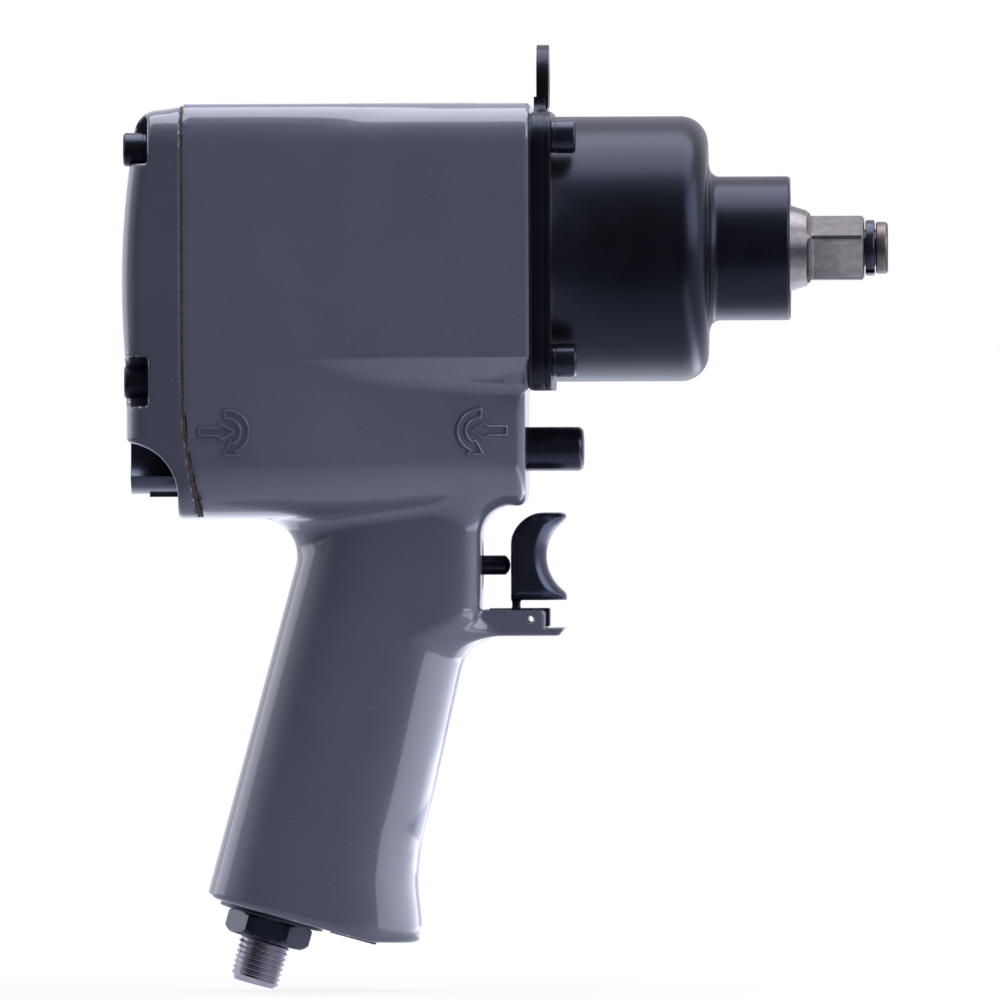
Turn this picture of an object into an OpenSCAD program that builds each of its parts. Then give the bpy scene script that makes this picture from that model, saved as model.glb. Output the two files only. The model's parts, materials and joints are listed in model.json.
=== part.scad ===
// Air impact wrench with a half inch square drive, a twin hammer mechanism and a pistol grip.
// The origin is the centre of the square's shoulder, +X points out along the spindle, +Z is up.

/* [Overall] */
// Length from the end disc back to the rear cover's crown
tool_length = 194.75; // [188:0.05:195.5]
// Height from the hanging tab's top down to the end of the inlet nipple
tool_height = 240.07; // [232:0.01:245]

/* [Square drive] */
// Distance across the flats of the square
drive_across = 12.7; // [11:0.1:13.2]
// Distance across the rounded corners of the square
drive_corners = 17.0; // [16:0.1:17.6]
// Length of the full square in front of its shoulder
drive_length = 13.5; // [12:0.5:16]
// Angle at which the square stands at rest
drive_turn = 26.6; // [0:0.1:45]
// Diameter of the end disc in front of the socket retainer
end_disc_d = 13.2; // [12:0.1:13.6]
// Thickness of that end disc
end_disc_t = 3.1; // [2.5:0.1:4]
// Width of the groove that holds the socket retainer
retainer_groove_w = 2.9; // [2.5:0.1:3.5]
// Diameter of the anvil where it runs in its bushing
anvil_journal_d = 20.8; // [19:0.1:22]

/* [Hammer case] */
// Outer diameter of the nose
nose_d = 36.6; // [35:0.1:40]
// Length of the nose in front of the case's round face
nose_length = 20.9; // [16:0.1:24]
// How far the nose stays behind the square's shoulder
nose_setback = 5.3; // [4:0.1:7]
// Outer diameter of the round case
case_d = 67.4; // [67:0.1:72]
// Length of the round case from its front face to the front of its flange
case_length = 39.4; // [39:0.1:44]
// Radius of the case's front edge
case_edge_r = 7; // [4:0.1:9]
// Wall of the spigot that centres the case in the housing
case_spigot_wall = 0.75; // [0.6:0.05:1.2]
// Wall in front of the hammers
case_front_wall = 6.8; // [5:0.1:7.2]
// Thickness of the square flange
flange_t = 1.6; // [1.4:0.1:3]

/* [Hanger plate] */
// Thickness of the steel hanger plate
hanger_t = 3.05; // [2.5:0.05:4]
// Width of the hanger plate and of the case's flange
plate_w = 71; // [69:0.5:73]
// Upper edge of the square plates above the spindle
plate_top = 34.7; // [34.5:0.1:36]
// Lower edge of the square plates below the spindle
plate_bottom = 36; // [34.5:0.1:37]
// Corner radius of the square plates
plate_corner_r = 8.7; // [7:0.1:10]
// Height of the hanging eye above the spindle
eye_z = 42.4; // [42.4:0.1:48]
// Diameter of the hanging eye
eye_d = 9.6; // [8:0.1:10.4]
// Width of metal round the eye
eye_rim = 4.8; // [4:0.1:6]
// How far the hanging tab stands in front of the plate
tab_offset = 0.65; // [0:0.05:1]

/* [Hammers] */
// Thickness of one hammer
hammer_t = 9.3; // [8:0.1:9.4]
// Outer radius of a hammer
hammer_r = 27; // [26:0.1:27.4]
// Half width of a hammer between its flats
hammer_flat = 21; // [19:0.1:21.3]
// Radius of a hammer's bore round the anvil
hammer_bore_r = 13.5; // [13.4:0.1:14]
// Distance from the spindle to a hammer's pin
hammer_pin_at = 21; // [20.5:0.1:21.5]
// Radius of a hammer's pin
hammer_pin_r = 3.5; // [3:0.1:3.6]
// Angle that a hammer rocks to each side
hammer_rock = 6; // [3:0.1:6]
// Radius of the anvil's core between the hammers
anvil_core_r = 8.5; // [7.5:0.1:10]
// Radius over the anvil's striking jaw
anvil_jaw_r = 12.5; // [11.5:0.1:12.5]
// Half of the angle that the jaw covers
jaw_half_angle = 15; // [8:1:15]

/* [Motor] */
// Bore of the housing for the motor
motor_bore_d = 62; // [61:0.1:63]
// Bore of the motor's cylinder
liner_bore_r = 25; // [24.6:0.1:25.4]
// Radius of the rotor
rotor_r = 22; // [21:0.1:22]
// Thickness of each end plate
end_plate_t = 10.5; // [10:0.1:11.5]
// Number of vanes
vane_count = 6; // [4:1:7]
// Thickness of a vane
vane_t = 3; // [2:0.1:3.2]
// Depth of a vane's slot in the rotor
vane_slot_depth = 10; // [8:0.1:11]
// Width of both ball bearings
bearing_w = 9; // [8:0.1:9.4]
// Bore radius of the front bearing
front_bearing_bore_r = 7.5; // [7:0.1:7.5]
// Outer radius of the front bearing
front_bearing_r = 16; // [15.8:0.1:17]
// Bore radius of the rear bearing
rear_bearing_bore_r = 5; // [4.6:0.1:5]
// Outer radius of the rear bearing
rear_bearing_r = 15; // [14.8:0.1:16]
// Radius of a bearing's ball
ball_r = 2.4; // [2:0.1:2.6]

/* [Motor housing] */
// Width of the housing round the motor
body_w = 73; // [71:0.5:76]
// Top of the housing above the spindle
body_top = 36.9; // [36:0.1:38]
// Lower edge of the square front below the spindle
body_bottom = 36.1; // [35:0.1:37]
// Radius of the housing's long edges
body_edge_r = 11; // [8:0.5:12]
// Distance from the housing's front face to the motor's front end plate
motor_setback = 6.9; // [6.5:0.1:8]
// Bottom of the valve chest below the spindle
chest_bottom = 68.1; // [67.5:0.1:70]
// Width of the valve chest's front face
chest_front_w = 47; // [40:0.5:52]
// Bottom of the valve chest's front face below the spindle
chest_front_bottom = 65; // [64:0.1:66]
// Radius of the valve chest's lower edges
chest_edge_r = 13; // [8:0.5:14]

/* [Rear cover] */
// Depth of the rear cover behind its gasket
cover_depth = 15.8; // [15.4:0.1:18]
// Top of the cover above the spindle
cover_top = 36; // [35:0.1:36.9]
// Radius of the crown on the cover's back
cover_crown_r = 220; // [150:5:300]
// Radius of the crown's edge towards the top
cover_edge_r = 4.5; // [3:0.1:6]
// Radius of the cover's upright rear edges
cover_side_r = 7.5; // [5:0.1:10]
// Depth at which the heads of the rear screws sit
rear_screw_seat = 7.8; // [7:0.1:9]
// Radius of the scoop that uncovers the regulator knob
scoop_r = 13.9; // [12:0.1:14.5]
// Distance of the rear screws from the middle plane
rear_screw_y = 27; // [26:0.1:28]
// Height of the upper rear screws above the spindle
rear_screw_top = 25.5; // [24:0.1:27]
// Depth of the lower rear screws below the spindle
rear_screw_bottom = 33.3; // [32:0.1:34]
// Thickness of both gaskets
gasket_t = 0.85; // [0.5:0.05:1]

/* [Grip] */
// Width of the grip
grip_w = 38; // [34:0.5:42]
// Width of the grip at its base
grip_base_w = 41; // [38:0.5:44]
// Distance from the spindle's origin back to the grip's upright front
grip_front = 84; // [84:0.1:86]
// Angle of the grip's back from upright
grip_slope = 14.9; // [13:0.1:17]
// Angle of the grip's base from level
grip_rake = 15.5; // [13:0.1:17]
// Radius in the corner between the valve chest and the grip's front
bay_r = 7.2; // [5:0.1:8]

/* [Trigger] */
// Top of the trigger's shelf below the spindle
shelf_top = 91.6; // [91.6:0.1:92]
// Height of the shelf's ears
shelf_h = 6.7; // [6.5:0.1:7.5]
// Width of the shelf
shelf_w = 25; // [22:0.5:30]
// Distance from the origin back to the front of the ears
ear_front = 67.8; // [67.4:0.1:68]
// Distance from the origin back to the shelf's lip
lip_front = 62.4; // [60:0.1:63]
// Distance from the origin back to the trigger's pin
pivot_back = 71.6; // [71.2:0.1:72]
// Depth of the trigger's pin below the spindle
pivot_down = 94; // [93.9:0.1:94.2]
// Diameter of the trigger's spring pin
pivot_d = 2.5; // [2:0.1:2.8]
// Top of the trigger below the spindle
trigger_top = 66.8; // [66:0.1:67.5]
// Lower end of the trigger's pad below the spindle
trigger_bottom = 89.2; // [88:0.1:90]
// Width of the trigger's pad
trigger_w = 17; // [14:0.5:20]
// Width of the trigger's leg between the ears
trigger_leg_w = 10; // [8:0.5:12]
// Distance from the origin back to the trigger's back
trigger_back = 76.8; // [76.4:0.1:77]
// Depth of the push rod's axis below the spindle
rod_down = 80.3; // [79.8:0.1:80.8]
// Diameter of the push rod
rod_d = 5; // [4:0.1:5.6]
// Radius of the bore for the throttle valve
throttle_bore_r = 6.5; // [6.2:0.1:7.5]

/* [Reverse valve] */
// Depth of the reverse valve's axis below the spindle
valve_down = 50.8; // [50.4:0.1:51.2]
// Radius of the front button
button_r = 5.6; // [5:0.1:6]
// Distance from the origin back to the tip of the front button
button_tip = 58.1; // [56:0.1:60]
// Travel of the reverse valve
reverse_travel = 10; // [6:0.5:10]
// Radius of the valve's lands
spool_r = 6.5; // [6.2:0.1:6.7]
// Outer radius of the valve's bushing
valve_bushing_r = 9; // [8.4:0.1:9.5]
// Radius of the regulator knob
knob_r = 11; // [10:0.1:11.4]
// Length of the regulator knob
knob_length = 12.4; // [10:0.1:12.6]
// Radius of the shaft that the knob turns on
tail_r = 4; // [3.4:0.1:4.2]

/* [Air inlet] */
// Distance from the origin back to the middle of the inlet
inlet_back = 137.8; // [136:0.1:139]
// Distance across the flats of the inlet bushing
inlet_hex = 19; // [18:0.1:22]
// Height of the inlet bushing's hexagon
inlet_hex_h = 6; // [5:0.1:8]
// Outer diameter of the inlet washer
inlet_washer_d = 27; // [24:0.1:28]
// Thickness of the inlet washer
inlet_washer_t = 1.3; // [1:0.1:2]
// Outer diameter of the quarter inch pipe thread
inlet_thread_d = 13.16; // [12.8:0.01:13.6]
// Length of pipe thread outside the bushing
inlet_thread_l = 11.3; // [9:0.1:14]
// Bore of the inlet
inlet_bore_d = 8; // [6:0.1:9]

/* [Fasteners] */
// Thread diameter of the case and cover screws
screw_d = 5; // [4:0.1:5]
// Diameter of the screws' heads
screw_head_d = 8.5; // [7:0.1:8.8]
// Height of the screws' heads
screw_head_h = 5.1; // [4:0.1:5.4]
// Thickness of the spring washers
washer_t = 1.2; // [1:0.1:1.6]
// Distance of the case screws from the spindle, sideways and in height
case_screw_at = 28.3; // [27.9:0.1:28.6]
// Depth of thread that holds a case screw in the housing
case_screw_depth = 13; // [9:0.5:16]
// Depth of thread that holds a cover screw in the housing
cover_screw_depth = 18; // [12:0.5:22]

/* [Clearances] */
// Radial clearance of a shaft or pin that turns or slides in its bore
running = 0.05; // [0.02:0.01:0.1]
// Gap between faces that pass each other
side_gap = 0.3; // [0.2:0.05:0.4]

/* [Hidden] */
$fn = 96;
eps = 0.01;

black_paint = "#17181b";
gray_paint = "#50535e";
bright_steel = "#a9a6a8";
dark_steel = "#5b5c60";
black_oxide = "#1b1c20";
bronze = "#a9793f";
rubber = "#141414";
fibre = "#8b6a4c";

// Places along the spindle, from the front to the back.
nose_x = -nose_setback;
case_x = nose_x - nose_length;
flange_x = case_x - case_length;
case_back_x = flange_x - flange_t;
hanger_back_x = case_back_x - hanger_t;
body_x = hanger_back_x - gasket_t;
seat_gap = 1.1;
motor_x = body_x - motor_setback;
liner_x = motor_x - end_plate_t;
liner_back_x = drive_length + retainer_groove_w + end_disc_t - tool_length
    + cover_depth + gasket_t + seat_gap + end_plate_t;
motor_back_x = liner_back_x - end_plate_t;
seam_x = motor_back_x - seat_gap;
cover_x = seam_x - gasket_t;
cover_back_x = cover_x - cover_depth;
rear_seat_x = cover_back_x + rear_screw_seat;
spigot_depth = 1.8;
web_x = body_x - spigot_depth - 1.2;

// The hammers and their cage.
motor_bore_r = motor_bore_d / 2;
motor_r = motor_bore_r - running;
case_bore_r = motor_r - case_spigot_wall;
cavity_x = case_x - case_front_wall;
cage_r = case_bore_r - 1;
cage_x = cavity_x - 1;
cage_plate_t = 5.5;
hammer_gap = 0.5;
front_hammer_x = cage_x - cage_plate_t - hammer_gap;
rear_hammer_x = front_hammer_x - hammer_t - hammer_gap;
cage_rear_x = rear_hammer_x - hammer_t - hammer_gap;
cage_rear_t = 7;
cage_hub_r = 11;
cage_hub_x = body_x - 2;
web_hole_r = cage_hub_r + 4;
strut_in = hammer_flat + 4.2;
strut_half_h = 8;
collar_r = anvil_jaw_r + 0.7;
pilot_r = 6;
pilot_depth = 4;
spline_r = 5.2;
spline_tooth_r = 6.6;
spline_tooth_w = 2.4;
bushing_wall = 3.6;
bushing_r = anvil_journal_d / 2 + running + bushing_wall;

// The motor. Its cylinder is bored off centre, so that the rotor almost meets it at the top.
rotor_top_gap = 0.15;
liner_offset = liner_bore_r - rotor_r - rotor_top_gap;
rotor_end_gap = 0.2;
liner_top_wall_mid = (rotor_r + rotor_top_gap + motor_r) / 2;
liner_pin_r = 2;
ball_groove_r = ball_r + running;
front_bearing_x = motor_x - bearing_w / 2;
rear_bearing_x = motor_back_x + bearing_w / 2;

// The reverse valve.
valve_z = -valve_down;
valve_front_x = body_x - 13;
bushing_front_x = valve_front_x - 1;
bushing_back_x = motor_back_x + 1;
knob_back_x = cover_back_x + 2.1;
knob_front_x = knob_back_x + knob_length;
pocket_r = knob_r + 1.6;
pocket_x = knob_front_x + side_gap;
spool_front_x = valve_front_x - side_gap;

// The seam is upright and swings forward below swing_z.
swing_r = 170;
swing_z = -30;
function seam_swing(z) = swing_r - sqrt(swing_r * swing_r - min(z - swing_z, 0) * min(z - swing_z, 0));

// The reverse valve's back stays clear of the cover at the end of its travel.
spool_back_x = cover_x + seam_swing(valve_z - spool_r) + reverse_travel + 2 * side_gap;
knob_screw_r = 5.2;
knob_screw_h = 2;
tail_back_x = knob_back_x + knob_screw_h + 0.7;
port_x = body_x - 26.4;
valve_bead = 0.8;
button_ring_x = body_x - 5;
button_ring_r = button_r + side_gap - valve_bead - running;
land_ring_x = spool_back_x + 4;
land_ring_r = spool_r - valve_bead;
motor_port_front_x = liner_x - 15;
motor_port_back_x = liner_back_x + 15;

// The trigger and the throttle.
pivot_x = -pivot_back;
pivot_z = -pivot_down;
pivot_r = pivot_d / 2;
rod_z = -rod_down;
rod_r = rod_d / 2;
rod_tip_r = 3;
rod_tip_gap = 0.1;
slot_w = trigger_leg_w + 2 * side_gap;
shelf_z = -shelf_top;
shelf_bottom_z = shelf_z - shelf_h;
lip_t = 1.9;
throttle_x = -grip_front - 0.4;
throttle_bushing_l = 10.6;
throttle_seat_x = throttle_x - 15.6;
throttle_seat_t = 3;
valve_head_t = 3;
valve_head_r = throttle_bore_r - 1;
valve_head_x = throttle_seat_x - throttle_seat_t - 0.1;
rod_bead = 0.45;
rod_ring_x = throttle_x - 6;
rod_ring_r = rod_r - rod_bead;
throttle_end_x = valve_head_x - valve_head_t - 11;

// The grip, the inlet and the exhaust.
grip_back_x = -130.6;
grip_back_z = -77;
nipple_edge = 0.8;
nipple_reach = (inlet_washer_t + inlet_hex_h + inlet_thread_l) * cos(grip_rake)
    + (inlet_thread_d / 2 - nipple_edge) * sin(grip_rake);
tool_top = eye_z + eye_d / 2 + eye_rim;
grip_back_length = (tool_height - tool_top - nipple_reach + grip_back_z
    + (inlet_back + grip_back_x) * tan(grip_rake)) / (cos(grip_slope) + sin(grip_slope) * tan(grip_rake));
base_x = grip_back_x - grip_back_length * sin(grip_slope);
base_z = grip_back_z - grip_back_length * cos(grip_slope);
inlet_z = base_z - (-inlet_back - base_x) * tan(grip_rake);
inlet_spigot_r = 8.6;
inlet_spigot_l = 12;
inlet_shank_r = inlet_thread_d / 2 - 0.3;
base_bend_x = -112;
exhaust_x = -117;
exhaust_z = inlet_z - (exhaust_x + inlet_back) * tan(grip_rake);
exhaust_l = 12.4;
exhaust_w = 22;
exhaust_depth = 9;
deflector_t = 1;

// A cylinder along +X from x0 to x1.
module x_rod(x0, x1, r, y = 0, z = 0) {
    translate([x0, y, z]) rotate([0, 90, 0]) cylinder(h = x1 - x0, r = r);
}

// A cone along +X with its radius at x0 and at x1.
module x_cone(x0, x1, r0, r1, y = 0, z = 0) {
    translate([x0, y, z]) rotate([0, 90, 0]) cylinder(h = x1 - x0, r1 = r0, r2 = r1);
}

// A tube along +X.
module x_tube(x0, x1, r, bore, y = 0, z = 0) {
    difference() {
        x_rod(x0, x1, r, y, z);
        x_rod(x0 - 1, x1 + 1, bore, y, z);
    }
}

// An outline in (y, z) drawn out along +X from x0 to x1.
module x_slab(x0, x1) {
    translate([x0, 0, 0]) rotate([90, 0, 90]) linear_extrude(x1 - x0) children();
}

// An outline in (x, z) drawn out sideways, centred on the middle plane.
module y_slab(w) {
    translate([0, w / 2, 0]) rotate([90, 0, 0]) linear_extrude(w) children();
}

// A profile in (radius, x) turned about an axis along X.
module x_turn(z = 0) {
    translate([0, 0, z]) rotate([0, 90, 0]) rotate_extrude() children();
}

// An upright rod from z0 up to z1.
module z_rod(z0, z1, r, x, y = 0) {
    translate([x, y, z0]) cylinder(h = z1 - z0, r = r);
}

// The inlet's own frame: its origin is on the grip's base and -Z runs out along the nipple.
module at_inlet() {
    translate([-inlet_back, 0, inlet_z]) rotate([0, grip_rake, 0]) children();
}

// A rectangle between two corners with rounded corners.
module rounded_rect(low, high, r) {
    translate([low[0] + r, low[1]]) square([high[0] - low[0] - 2 * r, high[1] - low[1]]);
    translate([low[0], low[1] + r]) square([high[0] - low[0], high[1] - low[1] - 2 * r]);
    for (x = [low[0] + r, high[0] - r], y = [low[1] + r, high[1] - r])
        translate([x, y]) circle(r);
}

module o_ring(x, r, bead, z = 0) {
    x_turn(z) translate([r, x]) circle(bead, $fn = 24);
}

// The groove of an O-ring in a shaft, cut from outside its surface.
module ring_groove(x, r, bead, z = 0) {
    x_tube(x - bead - 0.1, x + bead + 0.1, r + 2 * bead, r - bead - running, 0, z);
}

// The four places where the hammer case is screwed to the housing.
module at_case_screws() {
    for (y = [-case_screw_at, case_screw_at], z = [-case_screw_at, case_screw_at])
        translate([0, y, z]) children();
}

// The four places where the rear cover is screwed to the housing.
module at_rear_screws() {
    for (y = [-rear_screw_y, rear_screw_y], z = [-rear_screw_bottom, rear_screw_top])
        translate([0, y, z]) children();
}

// A socket head cap screw whose head sits on x = 0 and points along +X.
module cap_screw(length) {
    difference() {
        union() {
            x_rod(0, screw_head_h - 0.5, screw_head_d / 2);
            x_cone(screw_head_h - 0.5, screw_head_h, screw_head_d / 2, screw_head_d / 2 - 0.5);
            x_rod(-length, eps, screw_d / 2);
        }
        translate([screw_head_h - 2.6, 0, 0]) rotate([0, 90, 0])
            cylinder(h = 3, r = screw_d * 0.46, $fn = 6);
    }
}

// A split spring washer in front of x = 0.
module spring_washer() {
    difference() {
        x_tube(0, washer_t, screw_head_d / 2 - 0.1, screw_d / 2 + 0.1);
        translate([washer_t / 2, 0, screw_head_d / 2 - 1])
            rotate([0, 30, 0]) cube([washer_t * 3, 0.5, 4], center = true);
    }
}

// The anvil, from its end disc back to the pilot in the hammer cage.
module anvil() {
    disc_x = drive_length + retainer_groove_w;
    color(bright_steel) difference() {
        union() {
            x_rod(disc_x, disc_x + end_disc_t - 0.8, end_disc_d / 2);
            x_cone(disc_x + end_disc_t - 0.8, disc_x + end_disc_t, end_disc_d / 2,
                end_disc_d / 2 - 0.8);
            x_rod(drive_length - 1, disc_x + 1, end_disc_d / 2 - 1.9);
            intersection() {
                x_slab(0, drive_length) rotate(drive_turn) square(drive_across, center = true);
                x_rod(-1, drive_length + 1, drive_corners / 2);
                x_cone(-20, drive_length, drive_corners / 2 + 21.5, drive_corners / 2 - 1.5);
            }
            x_cone(nose_x, 0, anvil_journal_d / 2, drive_corners / 2);
            x_rod(cavity_x - 0.4, nose_x, anvil_journal_d / 2);
            x_rod(cage_x - cage_plate_t, cavity_x - 0.4, collar_r);
            x_rod(cage_rear_x, cage_x - cage_plate_t, anvil_core_r);
            x_rod(cage_rear_x - pilot_depth + side_gap, cage_rear_x, pilot_r);
            intersection() {
                x_rod(cage_rear_x + hammer_gap, cage_x - cage_plate_t, anvil_jaw_r);
                x_slab(cage_rear_x, cage_x)
                    polygon([[0, 0], [-2 * anvil_jaw_r * tan(jaw_half_angle), 2 * anvil_jaw_r],
                        [2 * anvil_jaw_r * tan(jaw_half_angle), 2 * anvil_jaw_r]]);
            }
        }
        x_turn() translate([anvil_journal_d / 2, nose_x - 3]) circle(0.8, $fn = 24);
    }
}

// The split friction ring that holds a socket on the square.
module socket_retainer() {
    color(black_oxide) difference() {
        x_tube(drive_length + 0.2, drive_length + retainer_groove_w - 0.2, end_disc_d / 2 + 0.5,
            end_disc_d / 2 - 0.9);
        x_slab(drive_length, drive_length + retainer_groove_w) rotate(-40)
            translate([0, end_disc_d / 2]) square([1.6, 6], center = true);
    }
}

// The rubber ring under the socket retainer.
module retainer_o_ring() {
    color(rubber) o_ring(drive_length + retainer_groove_w / 2, end_disc_d / 2 - 1.4, 0.5);
}

// The plain bearing that carries the anvil in the nose.
module anvil_bushing() {
    color(bronze) x_tube(cavity_x, nose_x - 0.5, bushing_r, anvil_journal_d / 2 + running);
}

// Outline of the square plates between the case and the housing.
module plate_outline() {
    rounded_rect([-plate_w / 2, -plate_bottom], [plate_w / 2, plate_top], plate_corner_r);
}

// The round case in front of the motor, with its nose and its square flange.
module hammer_case() {
    spigot_l = hanger_t + gasket_t + spigot_depth;
    root_r = 2.5;
    nose_edge_r = 1;
    color(black_paint) difference() {
        union() {
            x_turn() {
                square_at(0, case_x - 1, nose_d / 2 - nose_edge_r, nose_length + 1);
                square_at(0, case_x - 1, nose_d / 2, nose_length + 1 - nose_edge_r);
                translate([nose_d / 2 - nose_edge_r, nose_x - nose_edge_r]) circle(nose_edge_r);
                difference() {
                    square_at(0, case_x - 1, nose_d / 2 + root_r, 1 + root_r);
                    translate([nose_d / 2 + root_r, case_x + root_r]) circle(root_r);
                }
                square_at(0, flange_x - eps, case_d / 2 - case_edge_r, case_length + eps);
                square_at(0, flange_x - eps, case_d / 2, case_length + eps - case_edge_r);
                translate([case_d / 2 - case_edge_r, case_x - case_edge_r]) circle(case_edge_r);
            }
            x_slab(case_back_x, flange_x) plate_outline();
            x_rod(case_back_x - spigot_l, case_back_x + 1, motor_r);
        }
        x_rod(case_back_x - spigot_l - 1, cavity_x, case_bore_r);
        x_rod(cavity_x - 1, nose_x + 1, bushing_r);
        x_turn() translate([nose_d / 2, case_x + root_r + 0.4]) circle(0.3, $fn = 16);
        at_case_screws() x_rod(case_back_x - 1, flange_x + 1, screw_d / 2 + 0.2);
    }
}

// A rectangle with its lower left corner at (x, y).
module square_at(x, y, w, h) {
    translate([x, y]) square([w, h]);
}

module hammer_case_screws() {
    color(black_oxide) at_case_screws() translate([flange_x + washer_t, 0, 0])
        cap_screw(flange_x + washer_t - body_x + case_screw_depth);
}

module hammer_case_washers() {
    color(black_oxide) at_case_screws() translate([flange_x, 0, 0]) spring_washer();
}

// The steel plate with the hanging eye, clamped behind the hammer case.
module hanger_plate() {
    eye_r = eye_d / 2;
    tab_r = eye_r + eye_rim;
    root_r = 4;
    color(black_paint) difference() {
        union() {
            x_slab(hanger_back_x, case_back_x) plate_outline();
            y_slab(2 * tab_r) polygon([
                [hanger_back_x, plate_top - 4],
                [case_back_x, plate_top - 4],
                [case_back_x, plate_top],
                [case_back_x + tab_offset, plate_top + 1.8],
                [case_back_x + tab_offset, eye_z],
                [hanger_back_x + tab_offset, eye_z],
                [hanger_back_x + tab_offset, plate_top + 1.8],
                [hanger_back_x, plate_top]
            ]);
            x_slab(hanger_back_x + tab_offset, case_back_x + tab_offset) intersection() {
                translate([0, eye_z]) circle(tab_r);
                translate([-tab_r, eye_z - eps]) square([2 * tab_r, tab_r + eps]);
            }
            x_slab(hanger_back_x, case_back_x) difference() {
                translate([-tab_r - root_r, plate_top - 1]) square([2 * (tab_r + root_r), 1 + root_r]);
                for (side = [-1, 1])
                    translate([side * (tab_r + root_r), plate_top + root_r]) circle(root_r);
                translate([-tab_r, plate_top]) square([2 * tab_r, root_r + 1]);
            }
        }
        x_rod(hanger_back_x - 1, case_back_x + 2, eye_r, 0, eye_z);
        x_rod(hanger_back_x - 1, case_back_x + 1, motor_bore_r);
        at_case_screws() x_rod(hanger_back_x - 1, case_back_x + 1, screw_d / 2 + 0.2);
    }
}

module front_gasket() {
    color(rubber) difference() {
        x_slab(body_x, hanger_back_x) plate_outline();
        x_rod(body_x - 1, hanger_back_x + 1, motor_bore_r);
        at_case_screws() x_rod(body_x - 1, hanger_back_x + 1, screw_d / 2 + 0.2);
    }
}

// Outline of the male spline on the rotor, or of its bore with a clearance.
module spline_outline(gap = 0) {
    circle(spline_r + gap);
    for (i = [0 : 5])
        rotate(i * 60) translate([-spline_tooth_w / 2 - gap, 0])
            square([spline_tooth_w + 2 * gap, spline_tooth_r + gap]);
}

// The cage that carries both hammers and is turned by the rotor's spline.
module hammer_cage() {
    color(dark_steel) difference() {
        union() {
            x_rod(cage_x - cage_plate_t, cage_x, cage_r);
            x_rod(cage_rear_x - cage_rear_t, cage_rear_x, cage_r);
            x_rod(cage_hub_x, cage_rear_x - 1, cage_hub_r);
            intersection() {
                x_rod(cage_rear_x - 1, cage_x - 1, cage_r);
                x_slab(cage_rear_x - 1, cage_x - 1) for (side = [-1, 1])
                    translate([side * (strut_in + 5), 0])
                        square([10, 2 * strut_half_h], center = true);
            }
        }
        x_rod(cage_x - cage_plate_t - 1, cage_x + 1, collar_r + running);
        x_rod(cage_rear_x - pilot_depth, cage_rear_x + 1, pilot_r + running);
        x_slab(cage_hub_x - 1, cage_rear_x - pilot_depth - 1) spline_outline(running);
        for (z = [-hammer_pin_at, hammer_pin_at])
            x_rod(cage_rear_x - cage_rear_t - 1, cage_x + 1, hammer_pin_r, 0, z);
    }
}

module hammer_pins() {
    color(bright_steel) for (z = [-hammer_pin_at, hammer_pin_at])
        x_rod(cage_rear_x - cage_rear_t + 0.5, cage_x - 0.5, hammer_pin_r, 0, z);
}

// Outline of a hammer that rocks on the upper pin. The lower pin passes through its open notch.
module hammer_outline() {
    notch_w = hammer_pin_r + 2 * hammer_pin_at * sin(hammer_rock) + 0.4;
    notch_top = hammer_pin_at * (1 - 2 * cos(hammer_rock)) + hammer_pin_r + 0.55;
    difference() {
        intersection() {
            circle(hammer_r);
            square([2 * hammer_flat, 3 * hammer_r], center = true);
        }
        circle(hammer_bore_r);
        translate([0, hammer_pin_at]) circle(hammer_pin_r + running);
        translate([-notch_w, notch_top - hammer_r]) square([2 * notch_w, hammer_r]);
    }
}

module front_hammer() {
    color(dark_steel) x_slab(front_hammer_x - hammer_t, front_hammer_x) hammer_outline();
}

module rear_hammer() {
    color(dark_steel) x_slab(rear_hammer_x - hammer_t, rear_hammer_x)
        rotate(180) hammer_outline();
}

// Outline of the housing round the motor, in (y, z).
module body_outline() {
    rounded_rect([-body_w / 2, -body_bottom], [body_w / 2, body_top], body_edge_r);
}

// Outline of the housing at its rear seam, where the valve chest is as wide as the body.
module rear_outline() {
    rounded_rect([-body_w / 2, -chest_bottom], [body_w / 2, body_top], body_edge_r);
}

// Profile of the space behind the seam.
module behind_seam(x) {
    difference() {
        translate([x - 60, -90]) square([70, 140]);
        translate([x, swing_z]) square([20, 80]);
        difference() {
            translate([x - 1, swing_z - 60]) square([20, 60 + eps]);
            translate([x - 1, swing_z - 60]) square([1, 60 + eps]);
            difference() {
                translate([x - 1, swing_z - 60]) square([20, 60 + eps]);
                translate([x + swing_r, swing_z]) circle(swing_r, $fn = 360);
            }
        }
    }
}

// One level of the grip: back, front, half width and height.
function grip_level(z, front, half_w) = [
    grip_back_x + (z - grip_back_z) * tan(grip_slope), front, half_w, z
];

// A level below the shelf, by its share of the way down to the base and how far its front is set back.
function handle_level(share, setback, half_w) = grip_level(
    shelf_bottom_z + (base_z - shelf_bottom_z) * share, -grip_front - setback, half_w
);

// Levels of the grip from inside the valve chest down past its base.
grip_levels = [
    [-146, -82.0, grip_w / 2 + 4, -62],
    [-139.5, -83.4, grip_w / 2 + 2.6, -68.4],
    [-133.4, -grip_front, grip_w / 2 + 1.4, -71],
    [-131, -grip_front, grip_w / 2 + 0.5, -76],
    grip_level(-85, -grip_front, grip_w / 2),
    grip_level(shelf_bottom_z + 1.3, -grip_front - 0.8, grip_w / 2),
    handle_level(0.0774, 4.4, grip_w / 2),
    handle_level(0.1518, 5.9, grip_w / 2),
    handle_level(0.3644, 9.0, grip_w / 2),
    handle_level(0.5951, 12.5, grip_w / 2 + 0.3),
    handle_level(0.7895, 15.8, grip_w / 2 + 0.8),
    handle_level(0.9428, 16.9, grip_base_w / 2),
    handle_level(1.1174, 15.8, grip_base_w / 2),
    handle_level(1.2404, 16.3, grip_base_w / 2)
];
grip_sides = 32;
grip_fullness = 2.7;

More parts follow.
